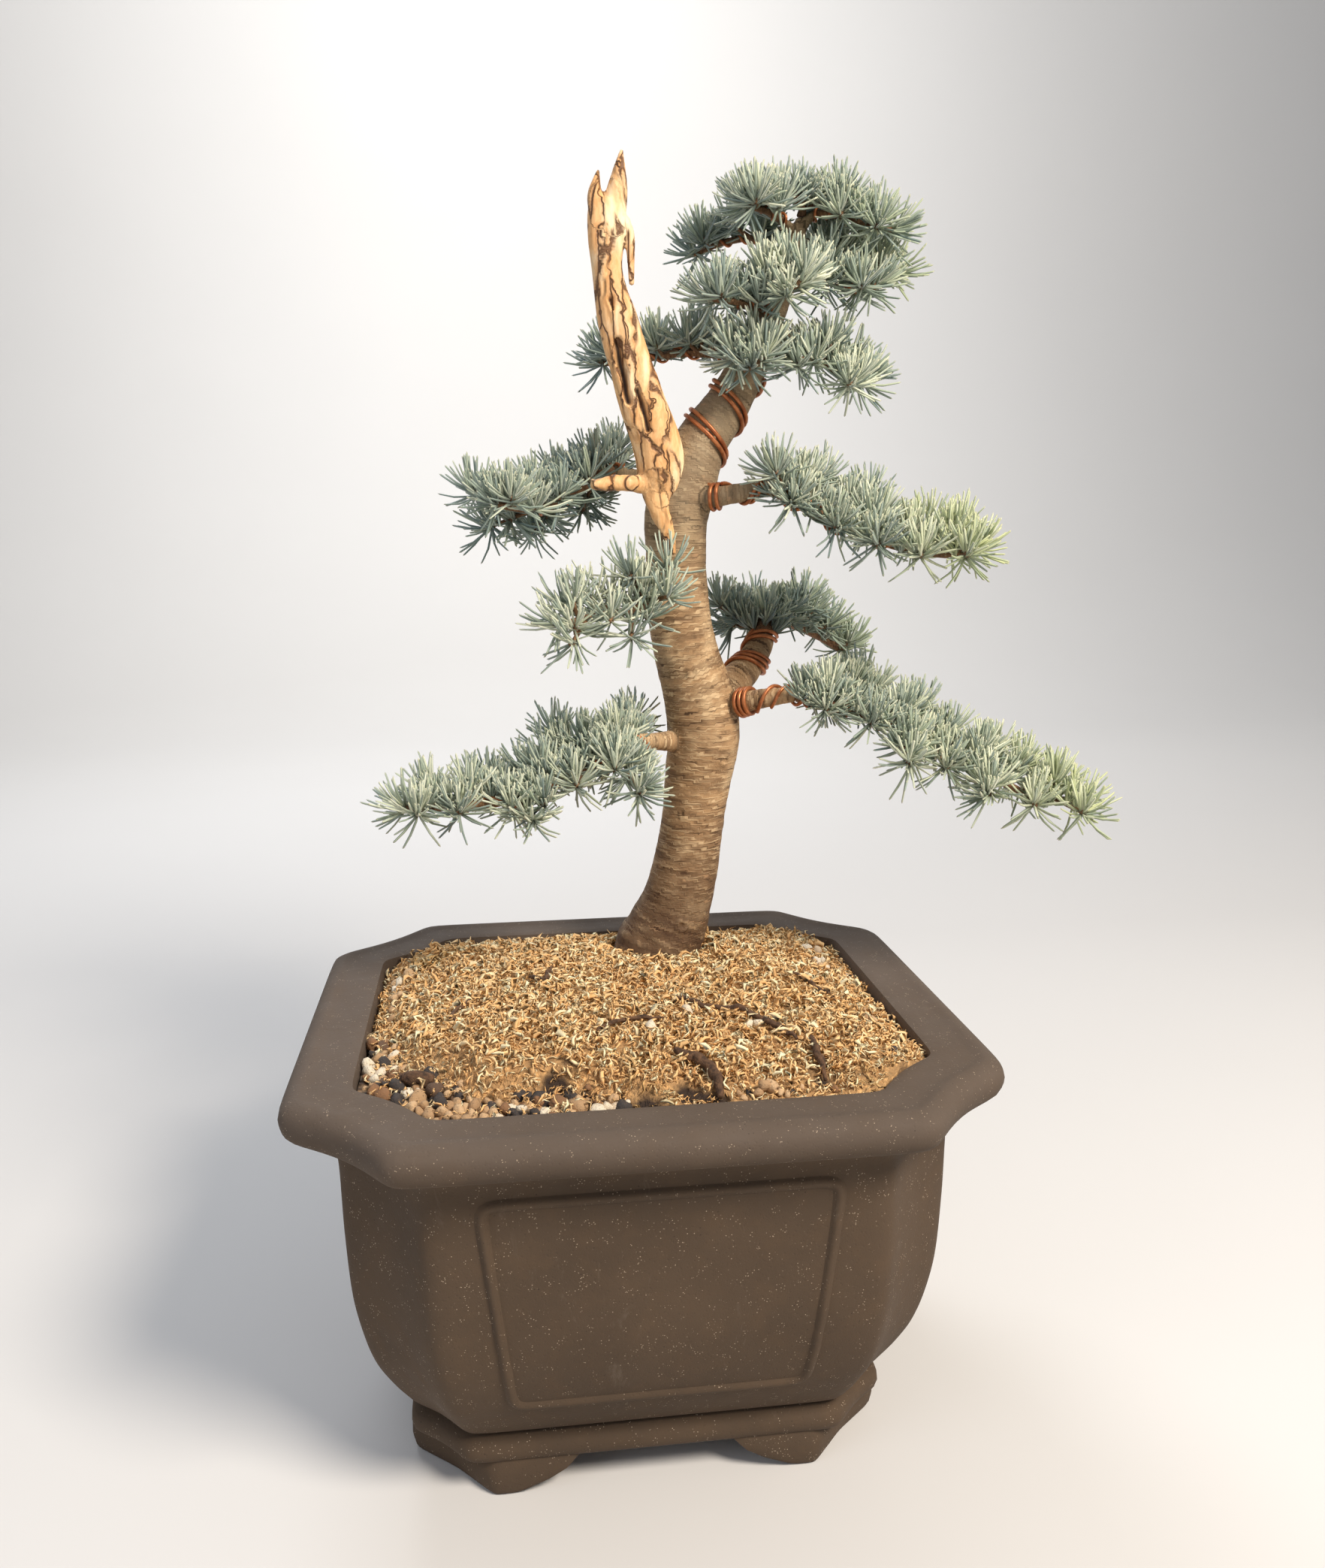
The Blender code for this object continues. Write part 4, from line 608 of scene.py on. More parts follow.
class Finish:
    """A material and the few kinds of node that its pattern needs."""

    def __init__(self, name):
        self.material = bpy.data.materials.new(name)
        self.material.use_nodes = True
        self.tree = self.material.node_tree
        self.shader = self.tree.nodes["Principled BSDF"]

    def node(self, kind, settings=None, sockets=None, out=0):
        made = self.tree.nodes.new(kind)
        for name, setting in (settings or {}).items():
            setattr(made, name, setting)
        for key, value in (sockets or {}).items():
            if isinstance(value, Value):
                self.tree.links.new(value.socket, made.inputs[key])
            else:
                made.inputs[key].default_value = value
        return Value(self, made.outputs[out])

    def place(self, stretch=(1, 1, 1)):
        """Object coordinates round the pot's middle, in metres, stretched for grain."""
        where = self.node("ShaderNodeTexCoord", out=3)
        centred = self.node("ShaderNodeMapping", {"vector_type": "POINT"}, {0: where, 1: tuple(-MIDDLE)})
        return self.node("ShaderNodeMapping", {"vector_type": "POINT"}, {0: centred, 3: stretch})

    def noise(self, where, scale, detail=3.0, rough=0.55, warp=0.0):
        return self.node(
            "ShaderNodeTexNoise", {"noise_dimensions": "3D"},
            {"Vector": where, "Scale": scale, "Detail": detail, "Roughness": rough, "Distortion": warp},
        )

    def cells(self, where, scale, feature="F1"):
        return self.node(
            "ShaderNodeTexVoronoi", {"feature": feature, "voronoi_dimensions": "3D"},
            {"Vector": where, "Scale": scale},
        )

    def stored(self, name):
        return self.node("ShaderNodeAttribute", {"attribute_name": name}, out=2)

    def split(self, where, axis):
        return self.node("ShaderNodeSeparateXYZ", None, {0: where}, out=axis)

    def vector(self, x, y, z):
        return self.node("ShaderNodeCombineXYZ", None, {0: x, 1: y, 2: z})

    def mix(self, share, first, second):
        def colour(c):
            return c if isinstance(c, Value) else (*c, 1.0)
        return self.node(
            "ShaderNodeMix", {"data_type": "RGBA"}, {0: share, 6: colour(first), 7: colour(second)}, out=2
        )

    def bump(self, height, distance, strength=1.0, under=None):
        sockets = {"Height": height, "Distance": distance, "Strength": strength}
        if under:
            sockets["Normal"] = under
        return self.node("ShaderNodeBump", None, sockets)

    def done(self, colour, roughness, normal=None, **others):
        for name, value in {"Base Color": colour, "Roughness": roughness, "Normal": normal, **others}.items():
            if isinstance(value, Value):
                self.tree.links.new(value.socket, self.shader.inputs[name])
            elif value is not None:
                self.shader.inputs[name].default_value = value
        return self.material


def clay_finish(colours):
    """Unglazed fired clay: dark brown, greyer in noisy patches towards the top of the rim, with pale specks
    and smears.
    """
    f = Finish("fired_clay")
    where = f.place()
    height = f.split(where, 2)
    cloud = f.noise(where, 14, 4)
    mottle = f.noise(where, 70, 4, 0.6)
    body = f.mix(0.45 + cloud.between(0.30, 0.75) * 0.55, colours.clay_dark, colours.clay)
    body = f.mix(mottle.between(0.45, 0.75) * 0.22, body, colours.clay_warm)
    # Greyer in noisy patches towards the top of the rim.
    rim = height.between(0.200, 0.219)
    rim_grey_noise = f.noise(f.place((1, 1, 3)), 38, 5, 0.65)
    body = f.mix(rim * (0.35 + rim_grey_noise * 0.5), body, colours.clay_rim)
    smear = f.noise(f.place((1, 1, 0.35)), 60, 5, 0.75, 0.6).between(0.60, 0.74)
    body = f.mix(smear * 0.30, body, colours.clay_dust)
    speck = 1 - f.cells(where, 760).between(0.12, 0.26)
    rare = f.noise(where, 190, 3).between(0.53, 0.60)
    body = f.mix(speck * rare * 0.85, body, colours.clay_speck)
    dark = 1 - f.cells(where, 330).between(0.08, 0.14)
    body = f.mix(dark * f.noise(where, 120, 2).between(0.55, 0.66) * 0.6, body, (0.012, 0.010, 0.009))
    grain = f.noise(where, 900, 3, 0.7)
    pits = f.cells(where, 420)
    relief = f.bump(grain * 0.5 + pits.between(0.0, 0.35) * 0.5, 0.00022)
    relief = f.bump(f.noise(where, 46, 4), 0.0011, 0.5, relief)
    return f.done(body, 0.70 + mottle * 0.25, relief, **{"Specular IOR Level": 0.32})


def bark_finish(colours):
    """Smooth bark: fine level lines and pores, darker and redder at the foot, greyer on the leader."""
    f = Finish("cedar_bark")
    where = f.place()
    along = f.stored("along")
    height = f.split(where, 2)
    wavy = f.noise(where, 55, 3) * 0.0030 + f.noise(where, 240, 2) * 0.0007
    sheet = f.vector(f.split(where, 0) * 58, f.split(where, 1) * 58, (along + wavy) * 740)
    lines = f.noise(sheet, 1.0, 3, 0.62)
    sheet_wide = f.vector(f.split(where, 0) * 22, f.split(where, 1) * 22, (along + wavy) * 190)
    bands = f.noise(sheet_wide, 1.0, 4, 0.6)
    patch = f.noise(where, 42, 5, 0.6)
    body = f.mix(bands.between(0.30, 0.70), colours.bark_dark, colours.bark)
    body = f.mix(patch.between(0.46, 0.72) * 0.55, body, colours.bark_pale)
    body = f.mix(lines.between(0.50, 0.66) * 0.75, body, colours.bark_pale)
    crack = 1 - lines.between(0.30, 0.44)
    body = f.mix(crack * 0.85, body, colours.bark_line)
    foot = 1 - (height + (patch - 0.5) * 0.06).between(0.236, 0.325)
    body = f.mix(foot * (0.55 + bands.between(0.35, 0.6) * 0.35), body, colours.bark_foot)
    body = f.mix(foot * lines.between(0.60, 0.70) * 0.45, body, colours.bark)
    green = f.noise(where, 30, 3).between(0.55, 0.75) * height.between(0.42, 0.52)
    body = f.mix(green * 0.25, body, (0.30, 0.27, 0.13))
    grey = height.between(0.43, 0.53) * (0.45 + bands.between(0.35, 0.6) * 0.3)
    body = f.mix(grey, body, colours.bark_grey)
    pore = 1 - f.cells(sheet_wide, 1.6).between(0.10, 0.20)
    body = f.mix(pore * 0.55, body, (0.50, 0.31, 0.17))
    relief = f.bump(lines * 0.7 + bands * 0.3, 0.0016)
    relief = f.bump(patch, 0.0030, 0.45, relief)
    return f.done(body, 0.72 + crack * 0.2, relief, **{"Specular IOR Level": 0.3})


def twig_finish(colours):
    """Twigs under the needles: orange brown and scaly."""
    f = Finish("scaly_twig")
    where = f.place()
    scales = f.cells(f.place((1, 1, 0.6)), 620)
    body = f.mix(scales.between(0.1, 0.6), colours.twig_pale, colours.twig)
    body = f.mix(f.noise(where, 120, 3).between(0.4, 0.7) * 0.6, body, (0.085, 0.045, 0.022))
    return f.done(body, 0.8, f.bump(scales, 0.0006))


def carved_finish(colours):
    """Carved and oiled dead wood: honey coloured, with dark meandering lines where it was burnt, and painted
    shade in its hollows.
    """
    f = Finish("carved_deadwood")
    along = f.stored("along")
    where = f.place()
    x, y = f.split(where, 0), f.split(where, 1)
    bend = f.noise(where, 46, 3) * 0.016 + f.noise(where, 150, 2) * 0.004
    grain_place = f.vector((x + bend) * 420, (y + bend) * 420, along * 34)
    grain = f.noise(grain_place, 1.0, 4, 0.6)
    broad = f.noise(f.place((1, 1, 0.35)), 85, 4)
    body = f.mix(grain.between(0.30, 0.72), colours.wood_deep, colours.wood)
    body = f.mix(broad.between(0.48, 0.74), body, colours.wood_pale)
    edge_place = f.vector((x + bend) * 125, (y + bend) * 125, (along + bend * 1.2) * 21)
    edges = f.cells(edge_place, 1.0, "DISTANCE_TO_EDGE")
    some = f.noise(f.place((1, 1, 0.4)), 70, 2).between(0.42, 0.50)
    line = (1 - edges.between(0.020, 0.075)) * some
    # Painted shade: the hollows are darkened to the burnt colour.
    hollow = f.stored("hollow")
    body = f.mix(hollow.between(0.30, 0.95), body, colours.wood_burnt_and_shade)
    body = f.mix(line * 0.92, body, colours.wood_burnt_and_shade)
    halo = (1 - edges.between(0.05, 0.20)) * some
    body = f.mix(halo * 0.35, body, (0.30, 0.12, 0.04))
    relief = f.bump(edges.between(0.0, 0.09) * some + grain * 0.25, 0.0016, 0.8)
    return f.done(body, 0.46 + grain * 0.2, relief, **{"Specular IOR Level": 0.4})


def wire_finish(colours):
    """Anodised wire: copper brown and satin, duller where it was bent."""
    f = Finish("anodised_wire")
    where = f.place()
    dull = f.noise(where, 260, 3)
    body = f.mix(dull.between(0.35, 0.7), colours.wire, colours.wire_deep)
    return f.done(body, 0.34 + dull * 0.16, f.bump(dull, 0.0002, 0.5), Metallic=0.55)


def needle_finish(colours):
    """Waxy needles: blue green with a pale bloom, greener and yellower on fresh shoots, with painted light:
    paler and more bloomed at the front and on upturned needles, darker behind.
    """
    f = Finish("waxy_needles")
    tone = f.stored("tone")
    fresh = f.stored("fresh")
    tip = f.stored("tip")
    # The tone carries painted light as well as random variation: high tone is the lit front and upturned
    # needles, low tone the shaded back.
    body = f.mix(tone, colours.needle_deep_and_shaded, colours.needle)
    body = f.mix(tone.between(0.62, 1.0) * 0.85, body, colours.needle_bloom_and_lit)
    body = f.mix(fresh, body, colours.needle_fresh)
    body = f.mix((1 - tip.between(0.0, 0.22)) * 0.55, body, (0.20, 0.20, 0.09))
    body = f.mix(tip.between(0.90, 1.0) * 0.45, body, (0.62, 0.55, 0.34))
    return f.done(body, 0.50, None, **{
        "Specular IOR Level": 0.35, "Sheen Weight": 0.25, "Sheen Roughness": 0.5,
    })


def moss_finish(colours):
    """Dry chopped moss: straw gold with paler and browner strands, the darkest in hollows as painted shade.
    """
    f = Finish("dry_moss")
    tone = f.stored("tone")
    where = f.place()
    patch = f.noise(where, 34, 4)
    body = f.mix(tone, colours.moss_deep_and_shaded, colours.moss)
    body = f.mix(tone.between(0.55, 1.0), body, colours.moss_pale)
    body = f.mix(patch.between(0.52, 0.72) * 0.35, body, colours.moss_deep_and_shaded)
    green = f.noise(where, 19, 2).between(0.62, 0.72)
    body = f.mix(green * 0.30, body, (0.20, 0.17, 0.05))
    return f.done(body, 0.9, None, **{"Specular IOR Level": 0.15})


def mound_finish(colours):
    """What shows between the strands: the same moss in a darker tone of its own, with painted shade in its
    hollows.
    """
    f = Finish("moss_bed")
    where = f.place()
    flakes = f.cells(where, 300)
    body = f.mix(flakes.between(0.1, 0.6), colours.moss_deep_and_shaded, (0.44, 0.26, 0.115))
    body = f.mix(f.noise(where, 90, 4).between(0.5, 0.75) * 0.7, body, (0.05, 0.028, 0.016))
    # Painted shade: the hollows are darkened almost to black.
    body = f.mix(f.stored("hollow").between(0.05, 0.45), body, (0.040, 0.024, 0.016))
    return f.done(body, 0.95, f.bump(f.noise(where, 420, 3), 0.003))


def stone_finish():
    """Pumice, baked clay and lava grit, told apart by each stone's own tone."""
    f = Finish("mixed_grit")
    tone = f.stored("tone")
    where = f.place()
    body = f.mix(tone.between(0.14, 0.22), (0.050, 0.042, 0.040), (0.26, 0.135, 0.065))
    body = f.mix(tone.between(0.34, 0.44), body, (0.46, 0.29, 0.155))
    body = f.mix(tone.between(0.62, 0.70), body, (0.62, 0.42, 0.24))
    body = f.mix(tone.between(0.88, 0.92), body, (0.80, 0.71, 0.56))
    pores = f.noise(where, 900, 3, 0.7)
    body = f.mix(1 - pores.between(0.25, 0.45), body, (0.16, 0.10, 0.06))
    return f.done(body, 0.88, f.bump(pores, 0.0007))


def soil_finish():
    """Damp grit under the moss."""
    f = Finish("damp_grit")
    where = f.place()
    grains = f.cells(where, 210)
    body = f.mix(grains.between(0.1, 0.7), (0.26, 0.17, 0.10), (0.075, 0.050, 0.034))
    return f.done(body, 0.95, f.bump(grains, 0.004))


def stick_finish():
    """Dry dark roots."""
    f = Finish("dry_root")
    where = f.place()
    grain = f.noise(where, 380, 4)
    body = f.mix(grain.between(0.3, 0.7), (0.045, 0.024, 0.014), (0.150, 0.078, 0.040))
    return f.done(body, 0.9, f.bump(grain, 0.0012))


def screen_finish():
    """Scuffed black plastic."""
    f = Finish("screen_mesh")
    where = f.place()
    scuff = f.noise(where, 150, 3)
    body = f.mix(scuff, (0.020, 0.020, 0.020), (0.045, 0.045, 0.045))
    return f.done(body, 0.5 + scuff * 0.2, f.bump(scuff, 0.0003))


class Tree:
    """A Geometry Nodes tree: its inputs, its nodes and the modifier that runs it."""

    def __init__(self, name, sizes):
        self.group = bpy.data.node_groups.new(name, "GeometryNodeTree")
        face = self.group.interface
        face.new_socket("Geometry", in_out="INPUT", socket_type="NodeSocketGeometry")
        self.sizes = {}
        for label, (kind, value) in sizes.items():
            socket = face.new_socket(label, in_out="INPUT", socket_type=kind)
            self.sizes[label] = (socket.identifier, value)
        face.new_socket("Geometry", in_out="OUTPUT", socket_type="NodeSocketGeometry")
        self.given = self.group.nodes.new("NodeGroupInput")
        self.result = self.group.nodes.new("NodeGroupOutput")

    def size(self, label):
        return self.given.outputs[label]

    def node(self, kind, settings=None, sockets=None, out=0):
        made = self.group.nodes.new(kind)
        for name, setting in (settings or {}).items():
            setattr(made, name, setting)
        for key, value in (sockets or {}).items():
            if isinstance(value, bpy.types.NodeSocket):
                self.group.links.new(value, made.inputs[key])
            else:
                made.inputs[key].default_value = value
        return made.outputs[out]

    def finish(self, geometry, material):
        """Makes the instances real and gives the whole its material."""
        whole = self.node("GeometryNodeRealizeInstances", None, {0: geometry})
        coloured = self.node("GeometryNodeSetMaterial", None, {"Geometry": whole, "Material": material})
        self.group.links.new(coloured, self.result.inputs[0])

    def run(self, thing):
        """Puts the tree on a piece, sets its sizes and takes the mesh that comes out."""
        modifier = thing.modifiers.new(self.group.name, "NODES")
        modifier.node_group = self.group
        for identifier, value in self.sizes.values():
            modifier[identifier] = value
        return evaluated_mesh(thing)


def shape_collection(name, shapes):
    """The shapes that scattered() picks from, kept in the scene until its pieces are made."""
    held = bpy.data.collections.new(name)
    bpy.context.scene.collection.children.link(held)
    for label, (points, faces) in shapes.items():
        mesh = bpy.data.meshes.new(label)
        mesh.from_pydata([tuple(map(float, p)) for p in points], [], faces)
        turn_outwards(mesh)
        mesh.shade_smooth()
        if label.startswith("needle"):
            store(mesh, "tip", [p[2] for p in points])
        held.objects.link(bpy.data.objects.new(label, mesh))
    return held


def remove_collection(held):
    """Removes a collection and all that it holds."""
    for thing in list(held.objects):
        mesh = thing.data
        bpy.data.objects.remove(thing, do_unlink=True)
        bpy.data.meshes.remove(mesh)
    bpy.data.collections.remove(held)


def scattered(name, places, directions, sizes, extra, held, material, seed, spin):
    """One mesh of the held shapes: one at each place, its Z along the direction, at that size."""
    mesh = bpy.data.meshes.new(name)
    mesh.from_pydata([tuple(p) for p in np.asarray(places) + MIDDLE], [], [])
    heading = mesh.attributes.new("heading", "FLOAT_VECTOR", "POINT")
    heading.data.foreach_set("vector", np.asarray(directions, np.float32).ravel())
    scale = mesh.attributes.new("scale_by", "FLOAT_VECTOR", "POINT")
    scale.data.foreach_set("vector", np.asarray(sizes, np.float32).ravel())
    for label, values in extra.items():
        store(mesh, label, values)
    thing = linked(name, mesh)
    tree = Tree(name + "_scatter", {
        "Shapes": ("NodeSocketCollection", held), "Seed": ("NodeSocketInt", seed),
        "Spin": ("NodeSocketFloat", spin),
    })
    shapes = tree.node(
        "GeometryNodeCollectionInfo", {"transform_space": "ORIGINAL"},
        {"Collection": tree.size("Shapes"), "Separate Children": True, "Reset Children": True},
    )
    way = tree.node("GeometryNodeInputNamedAttribute", {"data_type": "FLOAT_VECTOR"}, {"Name": "heading"})
    grow = tree.node("GeometryNodeInputNamedAttribute", {"data_type": "FLOAT_VECTOR"}, {"Name": "scale_by"})
    turned = tree.node("FunctionNodeAlignRotationToVector", {"axis": "Z"}, {"Vector": way})
    sway = tree.node(
        "FunctionNodeRandomValue", {"data_type": "FLOAT_VECTOR"},
        {0: (-1.0, -1.0, -1.0), 1: (1.0, 1.0, 1.0), "Seed": tree.size("Seed")},
    )
    swayed = tree.node("ShaderNodeVectorMath", {"operation": "SCALE"}, {0: sway, "Scale": tree.size("Spin")})
    up = tree.node("ShaderNodeVectorMath", {"operation": "ADD"}, {0: swayed, 1: (0.0, 0.0, 1.0)})
    turned = tree.node(
        "FunctionNodeAlignRotationToVector", {"axis": "X", "pivot_axis": "Z"},
        {"Rotation": turned, "Vector": up},
    )
    pick = tree.node(
        "FunctionNodeRandomValue", {"data_type": "INT"},
        {4: 0, 5: len(held.objects) - 1, "Seed": tree.size("Seed")}, out=2,
    )
    dots = tree.node("GeometryNodeMeshToPoints", {"mode": "VERTICES"}, {"Mesh": tree.given.outputs[0]})
    placed = tree.node("GeometryNodeInstanceOnPoints", None, {
        "Points": dots, "Instance": shapes, "Pick Instance": True, "Instance Index": pick,
        "Rotation": turned, "Scale": grow,
    })
    tree.finish(placed, material)
    return tree.run(thing)


def needle_shapes():
    """Needles one unit long on Z, a little bent, three-sided, even in girth and blunt."""
    shapes = {}
    for number, bend in enumerate((0.03, 0.09, 0.16, 0.22)):
        points = []
        for t, r in ((0.0, 0.60), (0.14, 1.0), (0.58, 1.0), (0.95, 0.82)):
            for a in (0.5, 0.5 + 2 * math.pi / 3, 0.5 + 4 * math.pi / 3):
                wide = NEEDLE_HALF * r
                points.append((bend * t * t + wide * math.cos(a), wide * math.sin(a), t))
        faces = [(2, 1, 0)]
        for low in (0, 3, 6):
            faces += [(low + i, low + (i + 1) % 3, low + 3 + (i + 1) % 3, low + 3 + i) for i in range(3)]
        faces += [(9, 10, 12), (10, 11, 12), (11, 9, 12)]
        points.append((bend, 0.0, 1.0))
        shapes[f"needle_{number}"] = (points, faces)
    return shapes


def curl_shapes():
    """Flakes of moss one unit long on Z: flattened, curled and pointed strands."""
    shapes = {}
    rnd = random.Random(5)
    for number in range(5):
        rings = []
        curl, twist = rnd.uniform(0.15, 0.5), rnd.uniform(-2.0, 2.0)
        for t, r in ((0.0, 0.5), (0.3, 1.0), (0.65, 0.85), (1.0, 0.25)):
            angle = twist * t
            middle = (curl * math.sin(math.pi * t), curl * 0.4 * math.sin(2 * math.pi * t), t)
            side = (math.cos(angle), math.sin(angle))
            rings.append([
                (middle[0] + side[0] * 0.15 * r, middle[1] + side[1] * 0.15 * r, middle[2]),
                (middle[0] - side[1] * 0.06 * r, middle[1] + side[0] * 0.06 * r, middle[2]),
                (middle[0] - side[0] * 0.15 * r, middle[1] - side[1] * 0.15 * r, middle[2]),
            ])
        shapes[f"curl_{number}"] = lofted(rings)
    return shapes


def stone_shapes():
    """Angular grit about one unit across."""
    shapes = {}
    for number in range(5):
        rnd = random.Random(60 + number)
        build = bmesh.new()
        bmesh.ops.create_icosphere(build, subdivisions=2, radius=0.5)
        cuts = [Vector([rnd.gauss(0, 1) for _ in range(3)]).normalized() for _ in range(9)]
        for vert in build.verts:
            for cut in cuts:
                over = vert.co.dot(cut) - 0.30
                if over > 0:
                    vert.co -= cut * over
        points = [tuple(v.co) for v in build.verts]
        faces = [tuple(v.index for v in f.verts) for f in build.faces]
        build.free()
        shapes[f"stone_{number}"] = (points, faces)
    return shapes


def depth_less(half):
    """How much smaller half the pot's depth is than half its width, where half its width is this."""
    return float(np.interp(half, [PLINTH_HALF, 0.148], [PLINTH_LESS, DEPTH_LESS]))


# Where the outline has points along its straight sides and along its cut corners
SIDE_STOPS = (0.0, 0.012, 0.03, 0.06, 0.12, 0.25, 0.4, 0.5, 0.6, 0.75, 0.88, 0.94, 0.97, 0.988)
CUT_STOPS = (0.0, 0.03, 0.08, 0.16, 0.3, 0.42, 0.5, 0.58, 0.7, 0.84, 0.92, 0.97)


def plan(half, z, soften=6, inset=0.0):
    """The pot's outline at one height: a rectangle with hollow cut corners and soft folds."""
    half_deep = half - depth_less(half) - inset
    share = (half - PLINTH_HALF) / (RIM_HALF - PLINTH_HALF)
    corner = max(0.002, min(PLINTH_CORNER + share * (RIM_CORNER - PLINTH_CORNER), half_deep * 0.6))
    hollow = max(0.0, PLINTH_HOLLOW + share * (RIM_HOLLOW - PLINTH_HOLLOW)) if half > 0.05 else 0.0
    half = half - inset
    points = []
    corners = ((1, -1), (1, 1), (-1, 1), (-1, -1))
    ends = []
    for sx, sy in corners:
        first = np.array([sx * (half - corner), sy * half_deep])
        last = np.array([sx * half, sy * (half_deep - corner)])
        ends.append((last, first) if sx * sy > 0 else (first, last))
    for number, (sx, sy) in enumerate(corners):
        first, last = ends[number]
        inwards = unit([-sx, -sy])
        for t in CUT_STOPS:
            points.append(first + (last - first) * t + inwards * hollow * (1 - (2 * t - 1) ** 2))
        after = ends[(number + 1) % 4][0]
        for t in SIDE_STOPS:
            points.append(last + (after - last) * t)
    points = softened(np.array(points), soften)
    return np.column_stack([points, np.full(len(points), z)])


def wall_half(z):
    """Half the pot's width at this height of its wall."""
    halves, heights = zip(*WALL[:9])
    return float(np.interp(z, heights, halves))


def bead_shell(turn, nearer, narrower):
    """Raised bead round one panel: a soft ridge that follows the wall, round at its corners."""
    levels = np.linspace(PANEL_LOW, PANEL_HIGH, 30)
    line = []
    for z in levels:
        share = (z - PANEL_LOW) / (PANEL_HIGH - PANEL_LOW)
        line.append((PANEL_HALF_LOW + share * (PANEL_HALF_HIGH - PANEL_HALF_LOW) - narrower, z))
    top = [(line[-1][0] * t, PANEL_HIGH) for t in np.linspace(0.96, -0.96, 36)]
    low = [(line[0][0] * t, PANEL_LOW) for t in np.linspace(-0.96, 0.96, 36)]
    loop = softened(np.array(line + top + [(-x, z) for x, z in reversed(line)] + low), 4)
    ahead = np.roll(loop, -1, axis=0) - np.roll(loop, 1, axis=0)
    ahead /= np.linalg.norm(ahead, axis=1)[:, None]
    outwards = np.column_stack([ahead[:, 1], -ahead[:, 0]])
    profile = BEAD_PROFILE + [(-u, h) for u, h in reversed(BEAD_PROFILE[:-1])]
    c, s = math.cos(turn), math.sin(turn)
    rings = []
    for u, proud in profile:
        ring = []
        for (x, z), out in zip(loop, outwards):
            x, z = x + out[0] * u * 0.001, z + out[1] * u * 0.001
            half = wall_half(z)
            slope = (wall_half(z + 0.002) - wall_half(z - 0.002)) / 0.004
            normal = unit([1.0, -slope])
            y = half - nearer * depth_less(half) + normal[0] * proud * 0.001
            ring.append((x * c + y * s, x * s - y * c, z + normal[1] * proud * 0.001))
        rings.append(ring)
    return lofted(rings, joined=True)


def foot_shell(sx, sy):
    """One bracket foot, swept up along its arms, with worn edges."""
    rings = []
    knots = np.array(FOOT_CURVE)
    for z in np.concatenate([[0.0, 0.0007], np.linspace(0.0022, 0.0205, 12)]):
        arm = np.interp(z, knots[:, 0], knots[:, 1])
        swell = np.interp(z, knots[:, 0], knots[:, 2]) - (0.0012 if z == 0 else 0)
        wide = FOOT_HALF + swell
        deep = FOOT_HALF - PLINTH_LESS + swell * 0.5
        cut, thick = FOOT_CORNER + swell * 0.7, FOOT_DEEP + swell
        middle = cut / 2 + PLINTH_HOLLOW / 2
        outline = [
            (wide, deep - cut - arm), (wide, deep - cut), (wide - middle, deep - middle),
            (wide - cut, deep), (wide - cut - arm, deep), (wide - cut - arm, deep - thick),
            (wide - cut - thick * 0.41, deep - thick), (wide - thick, deep - cut - thick * 0.41),
            (wide - thick, deep - cut - arm),
        ]
        fine = []
        for i, point in enumerate(outline):
            after = outline[(i + 1) % len(outline)]
            for t in (0.0, 0.06, 0.2, 0.5, 0.8, 0.94):
                fine.append(np.array(point) + (np.array(after) - np.array(point)) * t)
        rings.append([(sx * x, sy * y, z) for x, y in softened(np.array(fine), 3)])
    return lofted(rings)


def grit_width(point):
    """Width of the strip of bare grit at this spot of the pot's mouth."""
    bearing = math.atan2(point[1], point[0])
    off = abs(bearing - math.radians(-132))
    return GRIT_STRIP * max(0.0, 1 - (off / math.radians(38)) ** 2)


def rim_outline(inset):
    """Points round the inside of the pot's mouth."""
    return plan(MOSS_EDGE, 0.0, 4, inset)[:, :2]


